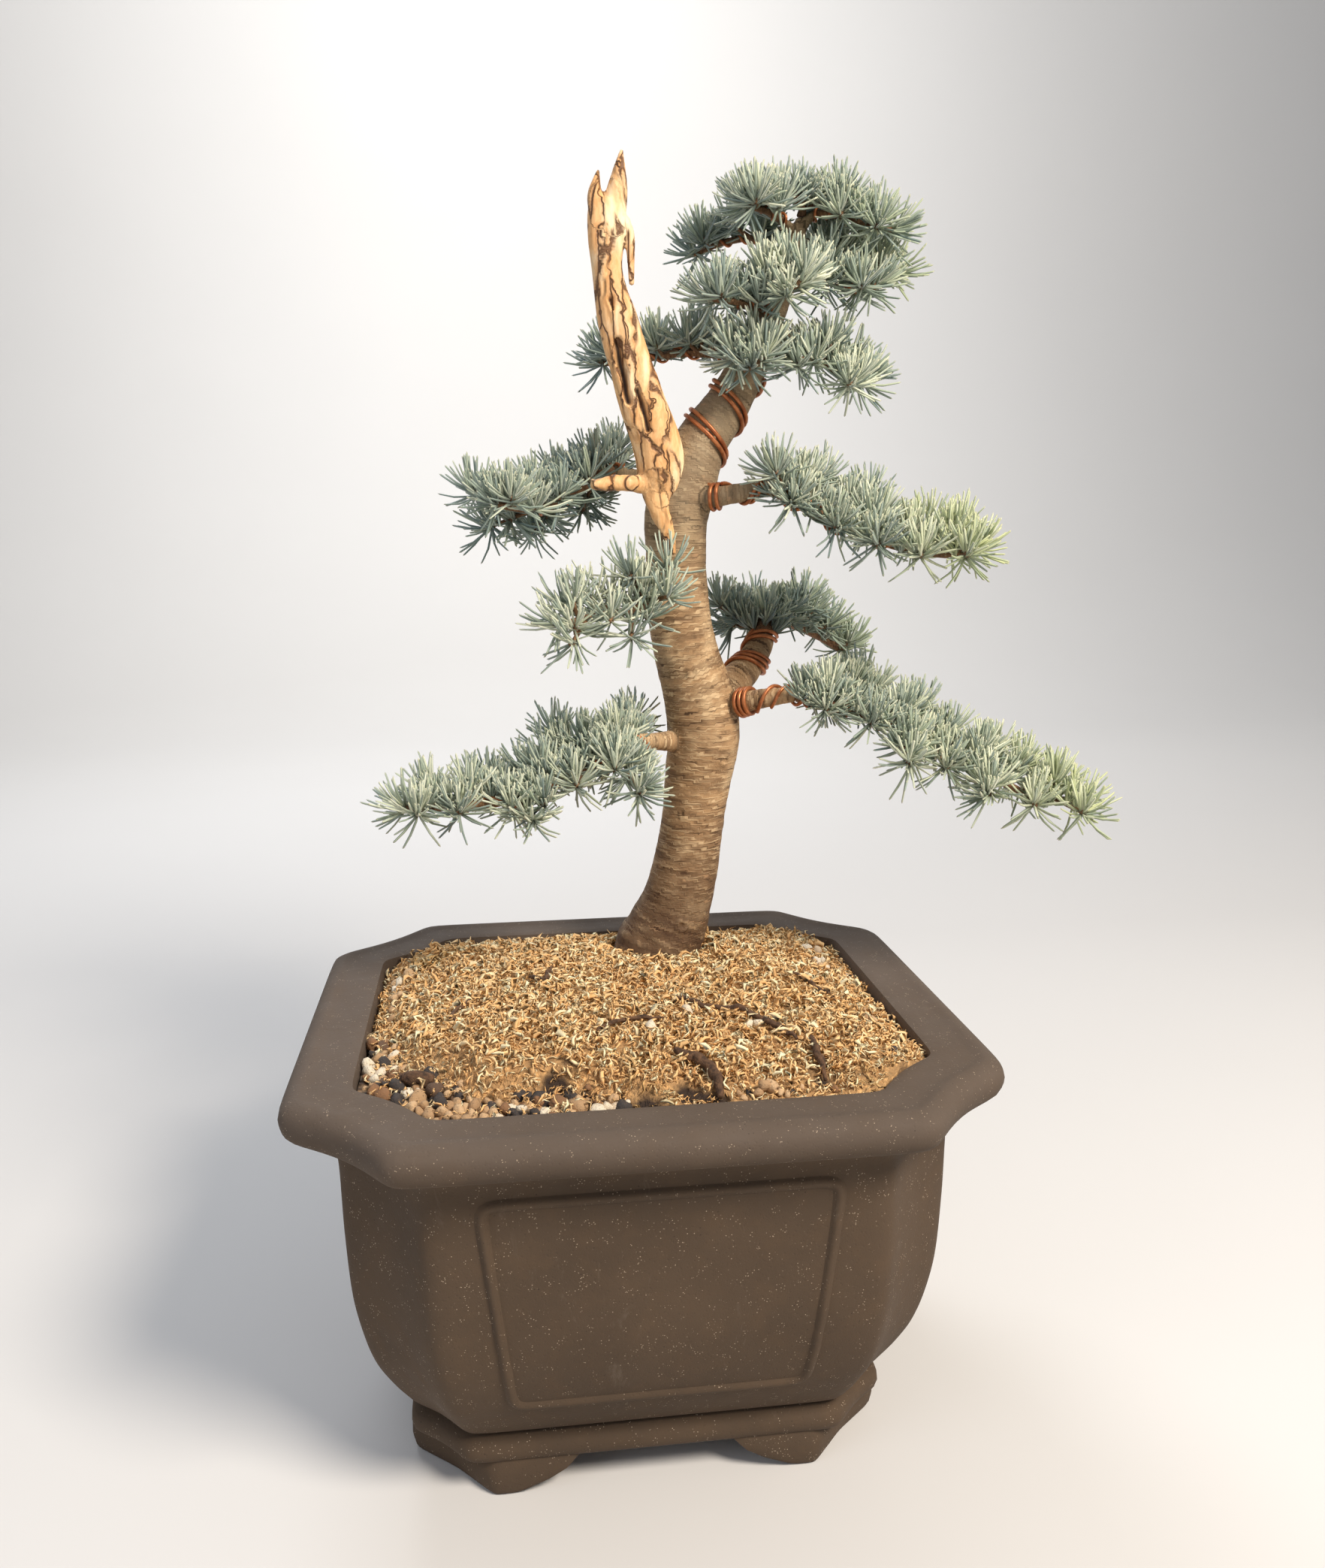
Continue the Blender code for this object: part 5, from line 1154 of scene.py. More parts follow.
class MossBed:
    """The moss's outer edge as seen from the trunk, and its height anywhere inside that edge."""

    def __init__(self):
        outline = rim_outline(0.0008)
        edge = []
        for point, after in zip(outline, np.roll(outline, -1, axis=0)):
            for t in np.linspace(0, 1, 8, endpoint=False):
                here = point + (after - point) * t
                reach = here + unit(TREE_FOOT - here) * grit_width(here) - TREE_FOOT
                edge.append((math.atan2(reach[1], reach[0]), math.hypot(*reach), grit_width(here)))
        edge.sort()
        bearings, reaches, widths = np.array(edge).T
        self.bearings = np.concatenate([bearings - 2 * math.pi, bearings, bearings + 2 * math.pi])
        self.reaches = np.tile(reaches, 3)
        self.widths = np.tile(widths, 3)

    def reach(self, bearing):
        return float(np.interp(bearing, self.bearings, self.reaches))

    def share(self, x, y):
        """How far out a point lies between the trunk and the edge, from 0 to 1."""
        bearing = math.atan2(y - TREE_FOOT[1], x - TREE_FOOT[0])
        return math.hypot(x - TREE_FOOT[0], y - TREE_FOOT[1]) / self.reach(bearing)

    def height(self, x, y):
        across = max(abs(x) / MOSS_EDGE, abs(y) / (MOSS_EDGE - DEPTH_LESS))
        rise = MOSS_RISE * (1 - min(across, 1.0) ** MOSS_FLAT)
        height = MOSS_EDGE_TOP + rise + MOSS_FRONT_LIFT * max(0.0, -y / MOSS_EDGE)
        height += 0.0018 * noise.noise(Vector((x * 55, y * 55, 0.3)))
        height += 0.0012 * noise.noise(Vector((x * 150, y * 150, 3)))
        for middle, radius, depth in HOLLOWS_IN_MOSS:
            off = math.hypot(x - middle[0], y - middle[1]) / radius
            height -= depth * max(0.0, 1 - off * off)
        bearing = math.atan2(y - TREE_FOOT[1], x - TREE_FOOT[0])
        width = float(np.interp(bearing, self.bearings, self.widths))
        inwards = self.reach(bearing) - math.hypot(x - TREE_FOOT[0], y - TREE_FOOT[1])
        low = GRIT_TOP + 0.0008
        if width > 0.002 and height > low:
            fall = smoothstep(0, 0.008, width) * (1 - smoothstep(0, 0.020, inwards))
            height = low + (height - low) * (1 - fall)
        return float(height)

    def climb(self, x, y, way):
        """Rise of the bed over the level part of a unit step that way."""
        ahead = self.height(x + way[0] * 0.002, y + way[1] * 0.002)
        behind = self.height(x - way[0] * 0.002, y - way[1] * 0.002)
        return (ahead - behind) / 0.004


def pot_piece(colours):
    """The pot's wall and plinth with the drain holes cut through, its panel beads and its feet."""
    levels = UNDERSIDE + PLINTH + [tuple(p) for p in smooth_2d(WALL, 0.003)] + INSIDE
    wall = mesh_object("pot_body", *lofted([plan(half, z) for half, z in levels]))
    drains = bpy.data.collections.new("drains")
    bpy.context.scene.collection.children.link(drains)
    for x in (-DRAIN_OFFSET, DRAIN_OFFSET):
        rings = [
            [(x + math.cos(a) * DRAIN_RADIUS, math.sin(a) * DRAIN_RADIUS, z) for a in turns(32)]
            for z in (0.0, 0.05)
        ]
        drill = mesh_object("drill", *lofted(rings))
        bpy.context.scene.collection.objects.unlink(drill)
        drains.objects.link(drill)
    cut = wall.modifiers.new("drains", "BOOLEAN")
    cut.operation = "DIFFERENCE"
    cut.operand_type = "COLLECTION"
    cut.collection = drains
    cut.solver = "EXACT"
    evaluated_mesh(wall)
    remove_collection(drains)
    shells = [bead_shell(0, 1, 0), bead_shell(math.pi, 1, 0),
              bead_shell(math.pi / 2, 0, DEPTH_LESS), bead_shell(-math.pi / 2, 0, DEPTH_LESS)]
    shells += [foot_shell(sx, sy) for sx in (-1, 1) for sy in (-1, 1)]
    trim = mesh_object("trim", *joined_shells(shells))
    build = bmesh.new()
    build.from_mesh(wall.data)
    build.from_mesh(trim.data)
    build.to_mesh(wall.data)
    build.free()
    mesh = trim.data
    bpy.data.objects.remove(trim, do_unlink=True)
    bpy.data.meshes.remove(mesh)
    wall.data.shade_smooth()
    wall.data.set_sharp_from_angle(angle=math.radians(SHARP_FOLD))
    paint(wall, clay_finish(colours))
    return wall


def moss_piece(colours, bed):
    """The mound of moss, in loops from round the trunk out to its edge."""
    bearings = np.linspace(-math.pi, math.pi, 200, endpoint=False)
    loops = [[
        (*(TREE_FOOT + TREE_HOLE * np.array([math.cos(b), math.sin(b)])), MOSS_BOTTOM) for b in bearings
    ]]
    for share in np.linspace(0, 1, 50):
        loop = []
        for b in bearings:
            reach = TREE_HOLE + (bed.reach(b) - TREE_HOLE) * share
            x, y = TREE_FOOT + reach * np.array([math.cos(b), math.sin(b)])
            loop.append((x, y, bed.height(x, y)))
        loops.append(loop)
    loops.append([(x, y, MOSS_BOTTOM) for x, y, _ in loops[-1]])
    points, faces = lofted(loops, joined=True)
    mound = mesh_object("moss_mound", points, faces)
    # The hollow mask, stored for the finish, is where painted shade goes.
    hollow = [
        max(1 - math.hypot(x - middle[0], y - middle[1]) / radius for middle, radius, _ in HOLLOWS_IN_MOSS)
        for x, y, _ in points
    ]
    store(mound.data, "hollow", np.clip(hollow, 0, 1))
    paint(mound, mound_finish(colours))
    return mound


def strands(name, number, longest, seed, bed, held, material):
    """Chopped strands strewn over the mound: fewer in its hollows and darker there as painted shade, along
    the wall at its edge, and a few on the grit."""
    rnd = random.Random(seed)
    inside = rim_outline(0.0030)
    places, headings, sizes, tones = [], [], [], []
    half_deep = MOSS_EDGE - DEPTH_LESS
    while len(places) < number:
        x, y = rnd.uniform(-MOSS_EDGE, MOSS_EDGE), rnd.uniform(-half_deep, half_deep)
        share = bed.share(x, y)
        over_grit = share > STRANDS_TO and within(x, y, inside) and rnd.random() < STRANDS_ON_GRIT
        by_trunk = math.hypot(x - TREE_FOOT[0], y - TREE_FOOT[1]) < TREE_HOLE + 0.0008
        if (share > STRANDS_TO and not over_grit) or by_trunk:
            continue
        hollow = any(math.hypot(x - m[0], y - m[1]) < r * 0.8 for m, r, _ in HOLLOWS_IN_MOSS)
        if hollow and rnd.random() < BARE_IN_HOLLOWS:
            continue
        way = unit([rnd.gauss(0, 1), rnd.gauss(0, 1), abs(rnd.gauss(0, 0.30)) + 0.05])
        if share > ALONG_WALL_FROM and not over_grit:
            outwards = unit([x - TREE_FOOT[0], y - TREE_FOOT[1], 0])
            way = unit(way - outwards * (way @ outwards) * 0.8)
        long = longest * rnd.uniform(0.45, 1.0) * (0.75 if share > 0.93 else 1)
        ground = GRIT_TOP + 0.0030 if over_grit else bed.height(x, y)
        climb = 0.0 if over_grit else bed.climb(x, y, way)
        start = np.array([x, y, ground + rnd.uniform(-0.0004, 0.0016)])
        start -= np.array([way[0], way[1], climb]) * long * 0.5
        way = unit(way + (0, 0, climb))
        places.append(start)
        headings.append(way)
        wide = long * rnd.uniform(0.7, 1.3)
        sizes.append((wide, wide, long))
        # Painted shade: strands in hollows keep a quarter of their tone, so they are darker.
        tones.append(min(1.0, max(0.0, rnd.gauss(0.60, 0.26))) * (0.25 if hollow else 1))
    return scattered(name, places, headings, sizes, {"tone": tones}, held, material, seed, 2.0)


def grit_piece(bed, held, material):
    """Loose grit in the strip that the moss leaves bare, and odd stones elsewhere on it."""
    rnd = random.Random(31)
    places, sizes, tones = [], [], []
    outline = rim_outline(0.0)
    inside = rim_outline(0.0035)

    def lay(x, y, z, size, low=0.0, high=1.0):
        places.append(np.array([x, y, z]))
        sizes.append([size * rnd.uniform(0.8, 1.2) for _ in range(3)])
        tones.append(rnd.uniform(low, high))

    tries = 0
    while len(places) < STONES_IN_STRIP and tries < MOST_TRIES:
        tries += 1
        point = outline[rnd.randrange(len(outline))]
        width = grit_width(point)
        if width < 0.003:
            continue
        x, y = point + unit(TREE_FOOT - point) * rnd.uniform(0.0035, width + 0.006)
        x, y = x + rnd.uniform(-0.008, 0.008), y + rnd.uniform(-0.008, 0.008)
        if not within(x, y, inside) or bed.share(x, y) < 0.955:
            continue
        size = rnd.choice((0.0058, 0.0072, 0.0088, 0.0108))
        level = GRIT_TOP - 0.0004 + rnd.choice((0.0, 0.0, 0.0026))
        near = [p for p, s in zip(places, sizes) if math.hypot(p[0] - x, p[1] - y) < (s[0] + size) * 0.38]
        if any(abs(p[2] - level) < 0.0012 for p in near):
            continue
        lay(x, y, level, size)
    for (x, y), (wide, deep), count, low, high in STONE_HEAPS:
        for _ in range(count):
            here = (x + rnd.uniform(-wide, wide), y + rnd.uniform(-deep, deep))
            size = rnd.uniform(0.0045, 0.0085) * min(1.0, 0.5 + wide * 100)
            lay(*here, bed.height(*here) + size * 0.30 + 0.0008, size, low, high)
    for _ in range(STONES_BY_WALL):
        bearing = rnd.uniform(-1.95, 0.3)
        reach = bed.reach(bearing) - rnd.uniform(0.002, 0.010)
        x, y = TREE_FOOT + reach * np.array([math.cos(bearing), math.sin(bearing)])
        size = rnd.uniform(0.003, 0.0055)
        lay(x, y, bed.height(x, y) + size * 0.15, size)
    headings = [any_way(rnd) for _ in places]
    return scattered("loose_grit", places, headings, sizes, {"tone": tones}, held, material, 31, 2.0)


def within(x, y, outline):
    """True if the point is inside the outline."""
    inside = False
    for (ax, ay), (bx, by) in zip(outline, np.roll(outline, -1, axis=0)):
        if (ay > y) != (by > y) and x < (bx - ax) * (y - ay) / (by - ay) + ax:
            inside = not inside
    return inside


def stick_piece(bed):
    """Roots and twigs that lie on the moss, and a flake of bark on the grit."""
    shells = []
    for number, (line, radius) in enumerate(STICKS):
        rnd = random.Random(80 + number)
        dense = smooth_2d(line, 0.003)
        knots = []
        for i, (x, y) in enumerate(dense):
            end = min(i, len(dense) - 1 - i) / 3
            girth = radius * (0.45 + 0.55 * min(1.0, end)) * rnd.uniform(0.85, 1.2)
            x, y = x + rnd.uniform(-0.0006, 0.0006), y + rnd.uniform(-0.0006, 0.0006)
            knots.append((x, y, bed.height(x, y) + radius * 0.5 + 0.0028 + rnd.uniform(0, 0.0010), girth))
        shells.append(rounded_bar(knots, 8, 0.0012))
    flake = [(-0.124, -0.0810, GRIT_TOP + 0.0040, 0.0028), (-0.1165, -0.0845, GRIT_TOP + 0.0048, 0.0050),
             (-0.1075, -0.0868, GRIT_TOP + 0.0046, 0.0036)]
    shells.append(rounded_bar(flake, 10, 0.0012, 0.8))
    sticks = mesh_object("roots_and_sticks", *joined_shells(shells))
    paint(sticks, stick_finish())
    return sticks


def trunk_piece(colours, limbs):
    """Trunk, leader and bare limbs in one skin, flared at the foot, with scars and uneven bark."""
    bare = [limb for name, limb in limbs.items() if name != "leader"]
    shells = [rounded_bar(TRUNK, 48, 0.0025)]
    shells += [route_bar(route, 0.0, split, girth, 20, 0.002) for route, split, girth in bare]
    tree = remeshed(mesh_object("trunk_bark", *joined_shells(shells)), TRUNK_VOXEL, 6)
    mesh = tree.data
    points, normals = points_of(mesh), normals_of(mesh)
    bars = [(smooth_path(TRUNK, 0.002), 0.0)]
    for number, (route, split, girth) in enumerate(bare):
        stops = np.arange(0, split, 0.002)
        bars.append((np.array([(*route.at(s), girth(s)) for s in stops]), 0.7 + 0.13 * number))
    along = nearest_along(points, bars)
    push = np.zeros(len(points))
    trunk = smooth_path([k[:3] for k in TRUNK], 0.001)
    for i, p in enumerate(points):
        level = Vector((p[0] * 70, p[1] * 70, along[i] * 230))
        push[i] = 0.00035 * noise.noise(Vector(p * 85)) + 0.00028 * noise.noise(level)
        if p[2] < FLARE_TOP:
            bearing = math.atan2(p[1] - TREE_FOOT[1], p[0] - TREE_FOOT[0])
            flare = (FLARE_TOP - p[2]) / 0.05
            push[i] += 0.0016 * flare * math.cos(5 * bearing + 0.8) * 0.6
    for place, bearing, radius, proud in SCARS:
        middle = trunk[min(int(place / 0.001), len(trunk) - 1)]
        out = np.array([math.cos(math.radians(bearing)), math.sin(math.radians(bearing)), 0.0])
        girth = float(np.interp(middle[2], [k[2] for k in TRUNK], [k[3] for k in TRUNK]))
        off = np.linalg.norm(points - (middle + out * girth), axis=1) / radius
        push += proud * np.exp(-((off - 0.75) ** 2) / 0.06) * (off < 1.6)
        push -= proud * 0.5 * np.exp(-(off**2) / 0.12)
    set_points(mesh, points + normals * push[:, None])
    store(mesh, "along", along)
    mesh.shade_smooth()
    paint(tree, bark_finish(colours))
    return tree


def carved_piece(colours):
    """The dead spike with its prongs, splinter, stub and strip down the bark, carved along its grain."""
    places = smooth_path(SPIKE, 0.0015)
    rings = []
    for place in places:
        rings.append([place[:3] + (math.cos(a) * place[3], math.sin(a) * place[4], 0.0) for a in turns(40)])
    shells = [lofted(rings)] + [rounded_bar(knots, 20, 0.0012, flat) for knots, flat in OFFSHOOTS]
    wood = remeshed(mesh_object("carved_spike", *joined_shells(shells)), CARVED_VOXEL, 3)
    mesh = wood.data
    points, normals = points_of(mesh), normals_of(mesh)
    bars = [(places[:, :4], 0.0)]
    bars += [(smooth_path(knots, 0.0015), 0.3 + 0.1 * i) for i, (knots, _) in enumerate(OFFSHOOTS)]
    along = nearest_along(points, bars)
    push = np.zeros(len(points))
    for i, p in enumerate(points):
        x, y, z = p
        drift = 0.006 * noise.noise(Vector((x * 30, y * 30, z * 30)))
        groove = noise.noise(Vector(((x + drift) * 330, (y + drift) * 330, z * 26)))
        ridge = noise.noise(Vector(((x + drift) * 130, (y + drift) * 130, z * 22 + 7)))
        push[i] = 0.00045 * groove + 0.0009 * ridge - 0.0002
    points = points + normals * push[:, None]
    hollow = np.zeros(len(points))
    for low, high, radius, depth in HOLLOWS:
        low, high = np.array(low), np.array(high)
        t = np.clip(((points - low) @ (high - low)) / ((high - low) @ (high - low)), 0, 1)
        off = points - (low + t[:, None] * (high - low))
        ragged = np.array([noise.noise(Vector((p[0] * 260, 3.0, p[2] * 120))) for p in points])
        off = np.hypot(off[:, 0], off[:, 2]) / (radius * (0.85 + 0.75 * ragged))
        # The hollow mask, stored for the finish, is where painted shade goes in the pushed-in hollows on the
        # front.
        inside = np.clip(1 - off, 0, 1) ** 0.6 * (normals[:, 1] < -0.1) * (points[:, 1] < 0.048)
        hollow = np.maximum(hollow, inside)
        points[:, 1] += depth * inside
    set_points(mesh, points)
    store(mesh, "along", along)
    store(mesh, "hollow", hollow)
    mesh.shade_smooth()
    paint(wood, carved_finish(colours))
    return wood


def coil_points(route, girth, start, end, pitch, way_round, wire, crossing, face):
    """Points of a coil that lies on its limb, as the tables of wire say."""
    steps = max(6, round((end - start) / pitch * 28))
    points = []
    for i in range(steps + 1):
        s = start + (end - start) * i / steps
        side, above = route.across(s)
        angle = math.radians(face) + way_round * 2 * math.pi * (s - crossing) / pitch
        reach = girth(s) + wire * 0.93
        points.append(route.at(s) + (side * math.cos(angle) + above * math.sin(angle)) * reach)
    return points


def wire_piece(name, coils, limbs, material):
    """Wire wound on its limb: a curve that a tree of nodes gives its thickness and its cut ends."""
    mesh = bpy.data.meshes.new(name)
    points, edges = [], []
    for route_name, *coil in coils:
        route, _, girth = limbs[route_name]
        line = coil_points(route, girth, *coil)
        edges += [(len(points) + i, len(points) + i + 1) for i in range(len(line) - 1)]
        points += line
    mesh.from_pydata([tuple(p) for p in np.array(points) + MIDDLE], edges, [])
    thing = linked(name, mesh)
    tree = Tree(name + "_coil", {
        "Radius": ("NodeSocketFloat", coils[0][5]), "Sides": ("NodeSocketInt", 12),
    })
    line = tree.node("GeometryNodeMeshToCurve", None, {0: tree.given.outputs[0]})
    round_bar = tree.node(
        "GeometryNodeCurvePrimitiveCircle", {"mode": "RADIUS"},
        {"Resolution": tree.size("Sides"), "Radius": tree.size("Radius")},
    )
    bar = tree.node(
        "GeometryNodeCurveToMesh", None, {"Curve": line, "Profile Curve": round_bar, "Fill Caps": True}
    )
    smooth = tree.node("GeometryNodeSetShadeSmooth", None, {0: bar})
    tree.finish(smooth, material)
    return tree.run(thing)


def needles_of(node):
    """Roots and tips of the solid's needles, and its twigs with the needles taken off."""
    build = bmesh.new()
    build.from_mesh(frame["nodes"][node].data)
    bmesh.ops.remove_doubles(build, verts=build.verts, dist=2e-6)
    tips = [
        v for v in build.verts
        if len(v.link_edges) > 2 and min(e.calc_length() for e in v.link_edges) > SHORTEST_NEEDLE
    ]
    found = []
    for tip in tips:
        root = sum((e.other_vert(tip).co for e in tip.link_edges), Vector()) / len(tip.link_edges)
        found.append((np.array(root) - MIDDLE, np.array(tip.co) - MIDDLE))
    bmesh.ops.dissolve_verts(build, verts=tips)
    bmesh.ops.recalc_face_normals(build, faces=build.faces)
    mesh = bpy.data.meshes.new(node + "_twigs")
    build.to_mesh(mesh)
    build.free()
    return found, mesh


def buds_of(found):
    """Groups the needles that spring from one bud."""
    tree = KDTree(len(found))
    for i, (root, _) in enumerate(found):
        tree.insert(Vector(root), i)
    tree.balance()
    group = {}
    for i in range(len(found)):
        if i in group:
            continue
        waiting = [i]
        group[i] = i
        while waiting:
            here = waiting.pop()
            for _, other, _ in tree.find_range(Vector(found[here][0]), BUD_REACH):
                if other not in group:
                    group[other] = i
                    waiting.append(other)
    buds = {}
    for i, key in group.items():
        buds.setdefault(key, []).append(found[i])
    return list(buds.values())


def side_whorls(mesh, buds, rnd):
    """Spots on the twigs near their buds where smaller whorls sit: (place, axis, length)."""
    middles = [sum(root for root, _ in bud) / len(bud) for bud in buds]
    axes = [unit(sum(unit(tip - root) for root, tip in bud)) for bud in buds]
    lengths = [np.mean([np.linalg.norm(tip - root) for root, tip in bud]) for bud in buds]
    taken = list(middles)
    found = []
    sides = list(mesh.polygons)
    rnd.shuffle(sides)
    for side in sides:
        for _ in range(3):
            shares = [rnd.random() + 0.05 for _ in side.vertices]
            corners = [np.array(mesh.vertices[v].co) - MIDDLE for v in side.vertices]
            place = sum(c * k for c, k in zip(corners, shares)) / sum(shares)
            off = np.linalg.norm(np.array(middles) - place, axis=1)
            near = int(off.argmin())
            if off[near] > WHORL_REACH or side.normal.z < -0.30:
                continue
            if min(np.linalg.norm(t - place) for t in taken) < WHORL_GAP:
                continue
            taken.append(place)
            axis = unit(np.array(side.normal) + axes[near] * 0.8 + np.array([0, 0, 0.25]))
            found.append((place, axis, lengths[near]))
    return found


def spray_piece(node, settings, held, twig_material, needle_material):
    """One spray: the solid's own twigs, a full tuft of fine needles on each bud, and whorls between."""
    found, twig_mesh = needles_of(node)
    rnd = random.Random(len(found) * 7 + len(node))
    reach_right = max(tip[0] for _, tip in found)
    buds = buds_of(found)
    fullness = THIN_SPRAYS.get(node, 1.0)
    needles = []
    for bud in buds:
        bud_tone = rnd.uniform(-0.16, 0.16)
        for k in range(int(max(settings.tuft, len(bud) * 2.6) * fullness)):
            root, tip = bud[k % len(bud)]
            way, length = unit(tip - root), np.linalg.norm(tip - root)
            if k >= len(bud):
                way = unit(way + any_way(rnd) * rnd.uniform(0.15, 0.55) + (0, 0, 0.08))
                root = root + np.array([rnd.gauss(0, 0.0007) for _ in range(3)])
                length *= rnd.uniform(0.80, 1.0)
            needles.append((root - way * NEEDLE_SUNK, way, length + NEEDLE_SUNK, bud_tone))
    for place, axis, length in side_whorls(twig_mesh, buds, rnd):
        whorl_tone = rnd.uniform(-0.22, 0.10)
        for _ in range(int(settings.side_tuft * fullness**2)):
            way = unit(axis + any_way(rnd) * rnd.uniform(0.2, 1.0))
            root = place + np.array([rnd.gauss(0, 0.0006) for _ in range(3)]) - way * NEEDLE_SUNK
            needles.append((root, way, length * rnd.uniform(0.72, 0.95), whorl_tone))
    sizes, tones, freshness = [], [], []
    for root, way, length, tone in needles:
        girth = settings.needle_thickness / (2 * NEEDLE_HALF) * rnd.uniform(0.88, 1.12)
        sizes.append((girth, girth, length))
        # Painted light: needles at the front and those pointing up get a higher, paler tone, and those behind
        # a lower, darker one; the bud and needle terms vary at random.
        front = smoothstep(0.17, -0.02, root[1])
        tones.append(min(1.0, max(0.0, 0.26 + 0.44 * front + tone + rnd.gauss(0, 0.17) + 0.14 * way[2])))
        near_tip = smoothstep(reach_right - 0.075, reach_right - 0.015, root[0])
        near_tip = near_tip * smoothstep(0.17, 0.21, reach_right)
        fresh = 0.10 * smoothstep(0.06, 0.20, root[0]) + 0.50 * near_tip
        freshness.append(min(0.85, max(0.0, fresh * rnd.uniform(0.5, 1.3) + rnd.gauss(0.05, 0.08))))
    name = node.replace("spray_", "tufts_")
    places, headings = [n[0] for n in needles], [n[1] for n in needles]
    tufts = scattered(
        name, places, headings, sizes, {"tone": tones, "fresh": freshness}, held, needle_material, 3, 0.35
    )
    twig_mesh.shade_smooth()
    twigs = linked(node.replace("spray_", "twigs_"), twig_mesh)
    paint(twigs, twig_material)
    return tufts, twigs


def settle(piece, slot, *nodes):
    """Hands a finished piece to the frame: it rides on the whole bonsai and stands for its nodes."""
    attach(piece, "root")
    if nodes:
        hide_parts(*nodes)
    return piece


def colour_property(name, default, what):
    return FloatVectorProperty(
        name=name, description=what, default=default, size=3, min=0, max=1, subtype="COLOR"
    )


class BonsaiColours(bpy.types.PropertyGroup):
    """Colours of the finishes"""

    clay: colour_property("Clay", (0.088, 0.058, 0.036), "Lighter shade of the fired clay")
    clay_dark: colour_property("Dark clay", (0.054, 0.036, 0.023), "Darker shade of the fired clay")
    clay_warm: colour_property("Warm clay", (0.120, 0.076, 0.044), "Warm mottling of the clay")
    # Greyer colour towards the top of the rim.
    clay_rim: colour_property("Rim", (0.125, 0.098, 0.080), "Dusty clay of the rim")
    clay_dust: colour_property("Smears", (0.170, 0.135, 0.104), "Chalky smears")
    clay_speck: colour_property("Specks", (0.420, 0.330, 0.240), "Pale specks")
    bark: colour_property("Bark", (0.460, 0.285, 0.145), "Main colour of the bark")
    bark_dark: colour_property("Dark bark", (0.195, 0.115, 0.058), "Darker bands of the bark")
    bark_pale: colour_property("Pale bark", (0.740, 0.540, 0.320), "Paler flakes of the bark")
    bark_grey: colour_property("Young bark", (0.230, 0.180, 0.115), "Greyer bark of the leader")
    bark_line: colour_property("Bark lines", (0.055, 0.028, 0.015), "Fine cracks round the trunk")
    bark_foot: colour_property("Foot of the trunk", (0.062, 0.030, 0.016), "Redder bark at the soil")
    twig: colour_property("Twigs", (0.200, 0.105, 0.050), "Twigs under the needles")
    twig_pale: colour_property("Twig scales", (0.360, 0.200, 0.095), "Scales on the twigs")
    wood: colour_property("Carved wood", (0.900, 0.550, 0.260), "Main colour of the deadwood")
    wood_deep: colour_property("Wood grain", (0.700, 0.360, 0.140), "Darker grain")
    wood_pale: colour_property("Pale wood", (1.000, 0.800, 0.520), "Paler faces of the wood")
    # Colour of the burnt lines, and of the painted shade in the wood's hollows.
    wood_burnt_and_shade: colour_property("Burnt lines", (0.040, 0.020, 0.012), "Dark lines and hollows")
    wire: colour_property("Wire", (0.520, 0.190, 0.070), "Copper brown wire")
    wire_deep: colour_property("Dull wire", (0.330, 0.105, 0.040), "Wire where it is duller")
    needle: colour_property("Needles", (0.410, 0.480, 0.375), "Blue green needles")
    # Dark end of the needles' tone: older, bluer needles and painted shade at the back of the crown.
    needle_deep_and_shaded: colour_property("Shaded needles", (0.150, 0.225, 0.235), "Older, bluer needles")
    # Pale end of the needles' tone: waxy bloom and painted light on the front and on upturned needles.
    needle_bloom_and_lit: colour_property("Bloom", (0.780, 0.810, 0.640), "Pale waxy bloom")
    needle_fresh: colour_property("Fresh needles", (0.560, 0.620, 0.300), "Needles on fresh shoots")
    moss: colour_property("Moss", (1.000, 0.680, 0.345), "Chopped dry moss")
    # Browner moss, which is also the painted shade of strands in hollows.
    moss_deep_and_shaded: colour_property("Deep moss", (0.760, 0.450, 0.190), "Browner moss")
    moss_pale: colour_property("Pale moss", (1.000, 0.900, 0.600), "Bleached strands")
    floor: colour_property("Floor", (0.720, 0.710, 0.700), "Pale studio floor")


class BonsaiSizes(bpy.types.PropertyGroup):
    """Sizes and counts of what is strewn and grown"""

    needle_thickness: FloatProperty(
        name="Needle thickness", description="Width of one needle", default=0.00150, unit="LENGTH"
    )
    tuft: IntProperty(
        name="Needles in a tuft", description="Fewest needles on one bud", default=40, min=8, max=60
    )
    side_tuft: IntProperty(
        name="Needles in a side whorl", description="Needles on one spot between buds",
        default=20, min=4, max=40,
    )
    strand_length: FloatProperty(
        name="Moss strand", description="Length of the longest strand", default=0.0092, unit="LENGTH"
    )
    strands: IntProperty(
        name="Moss strands", description="Strands in each layer", default=7300, min=100, max=9000
    )


def colours_of(context):
    """The colours that the panel shows."""
    return context.scene.bonsai_colours


class BONSAI_OT_pot(bpy.types.Operator):
    """Build the footed clay pot and finish its drain screens"""

    bl_idname = "bonsai.pot"
    bl_label = "Pot"

    def execute(self, context):
        settle(pot_piece(colours_of(context)), "unglazed_clay", "pot")
        plastic = screen_finish()
        for node in ("drain_screen_left", "drain_screen_right"):
            paint(frame["nodes"][node], plastic)
        return {"FINISHED"}


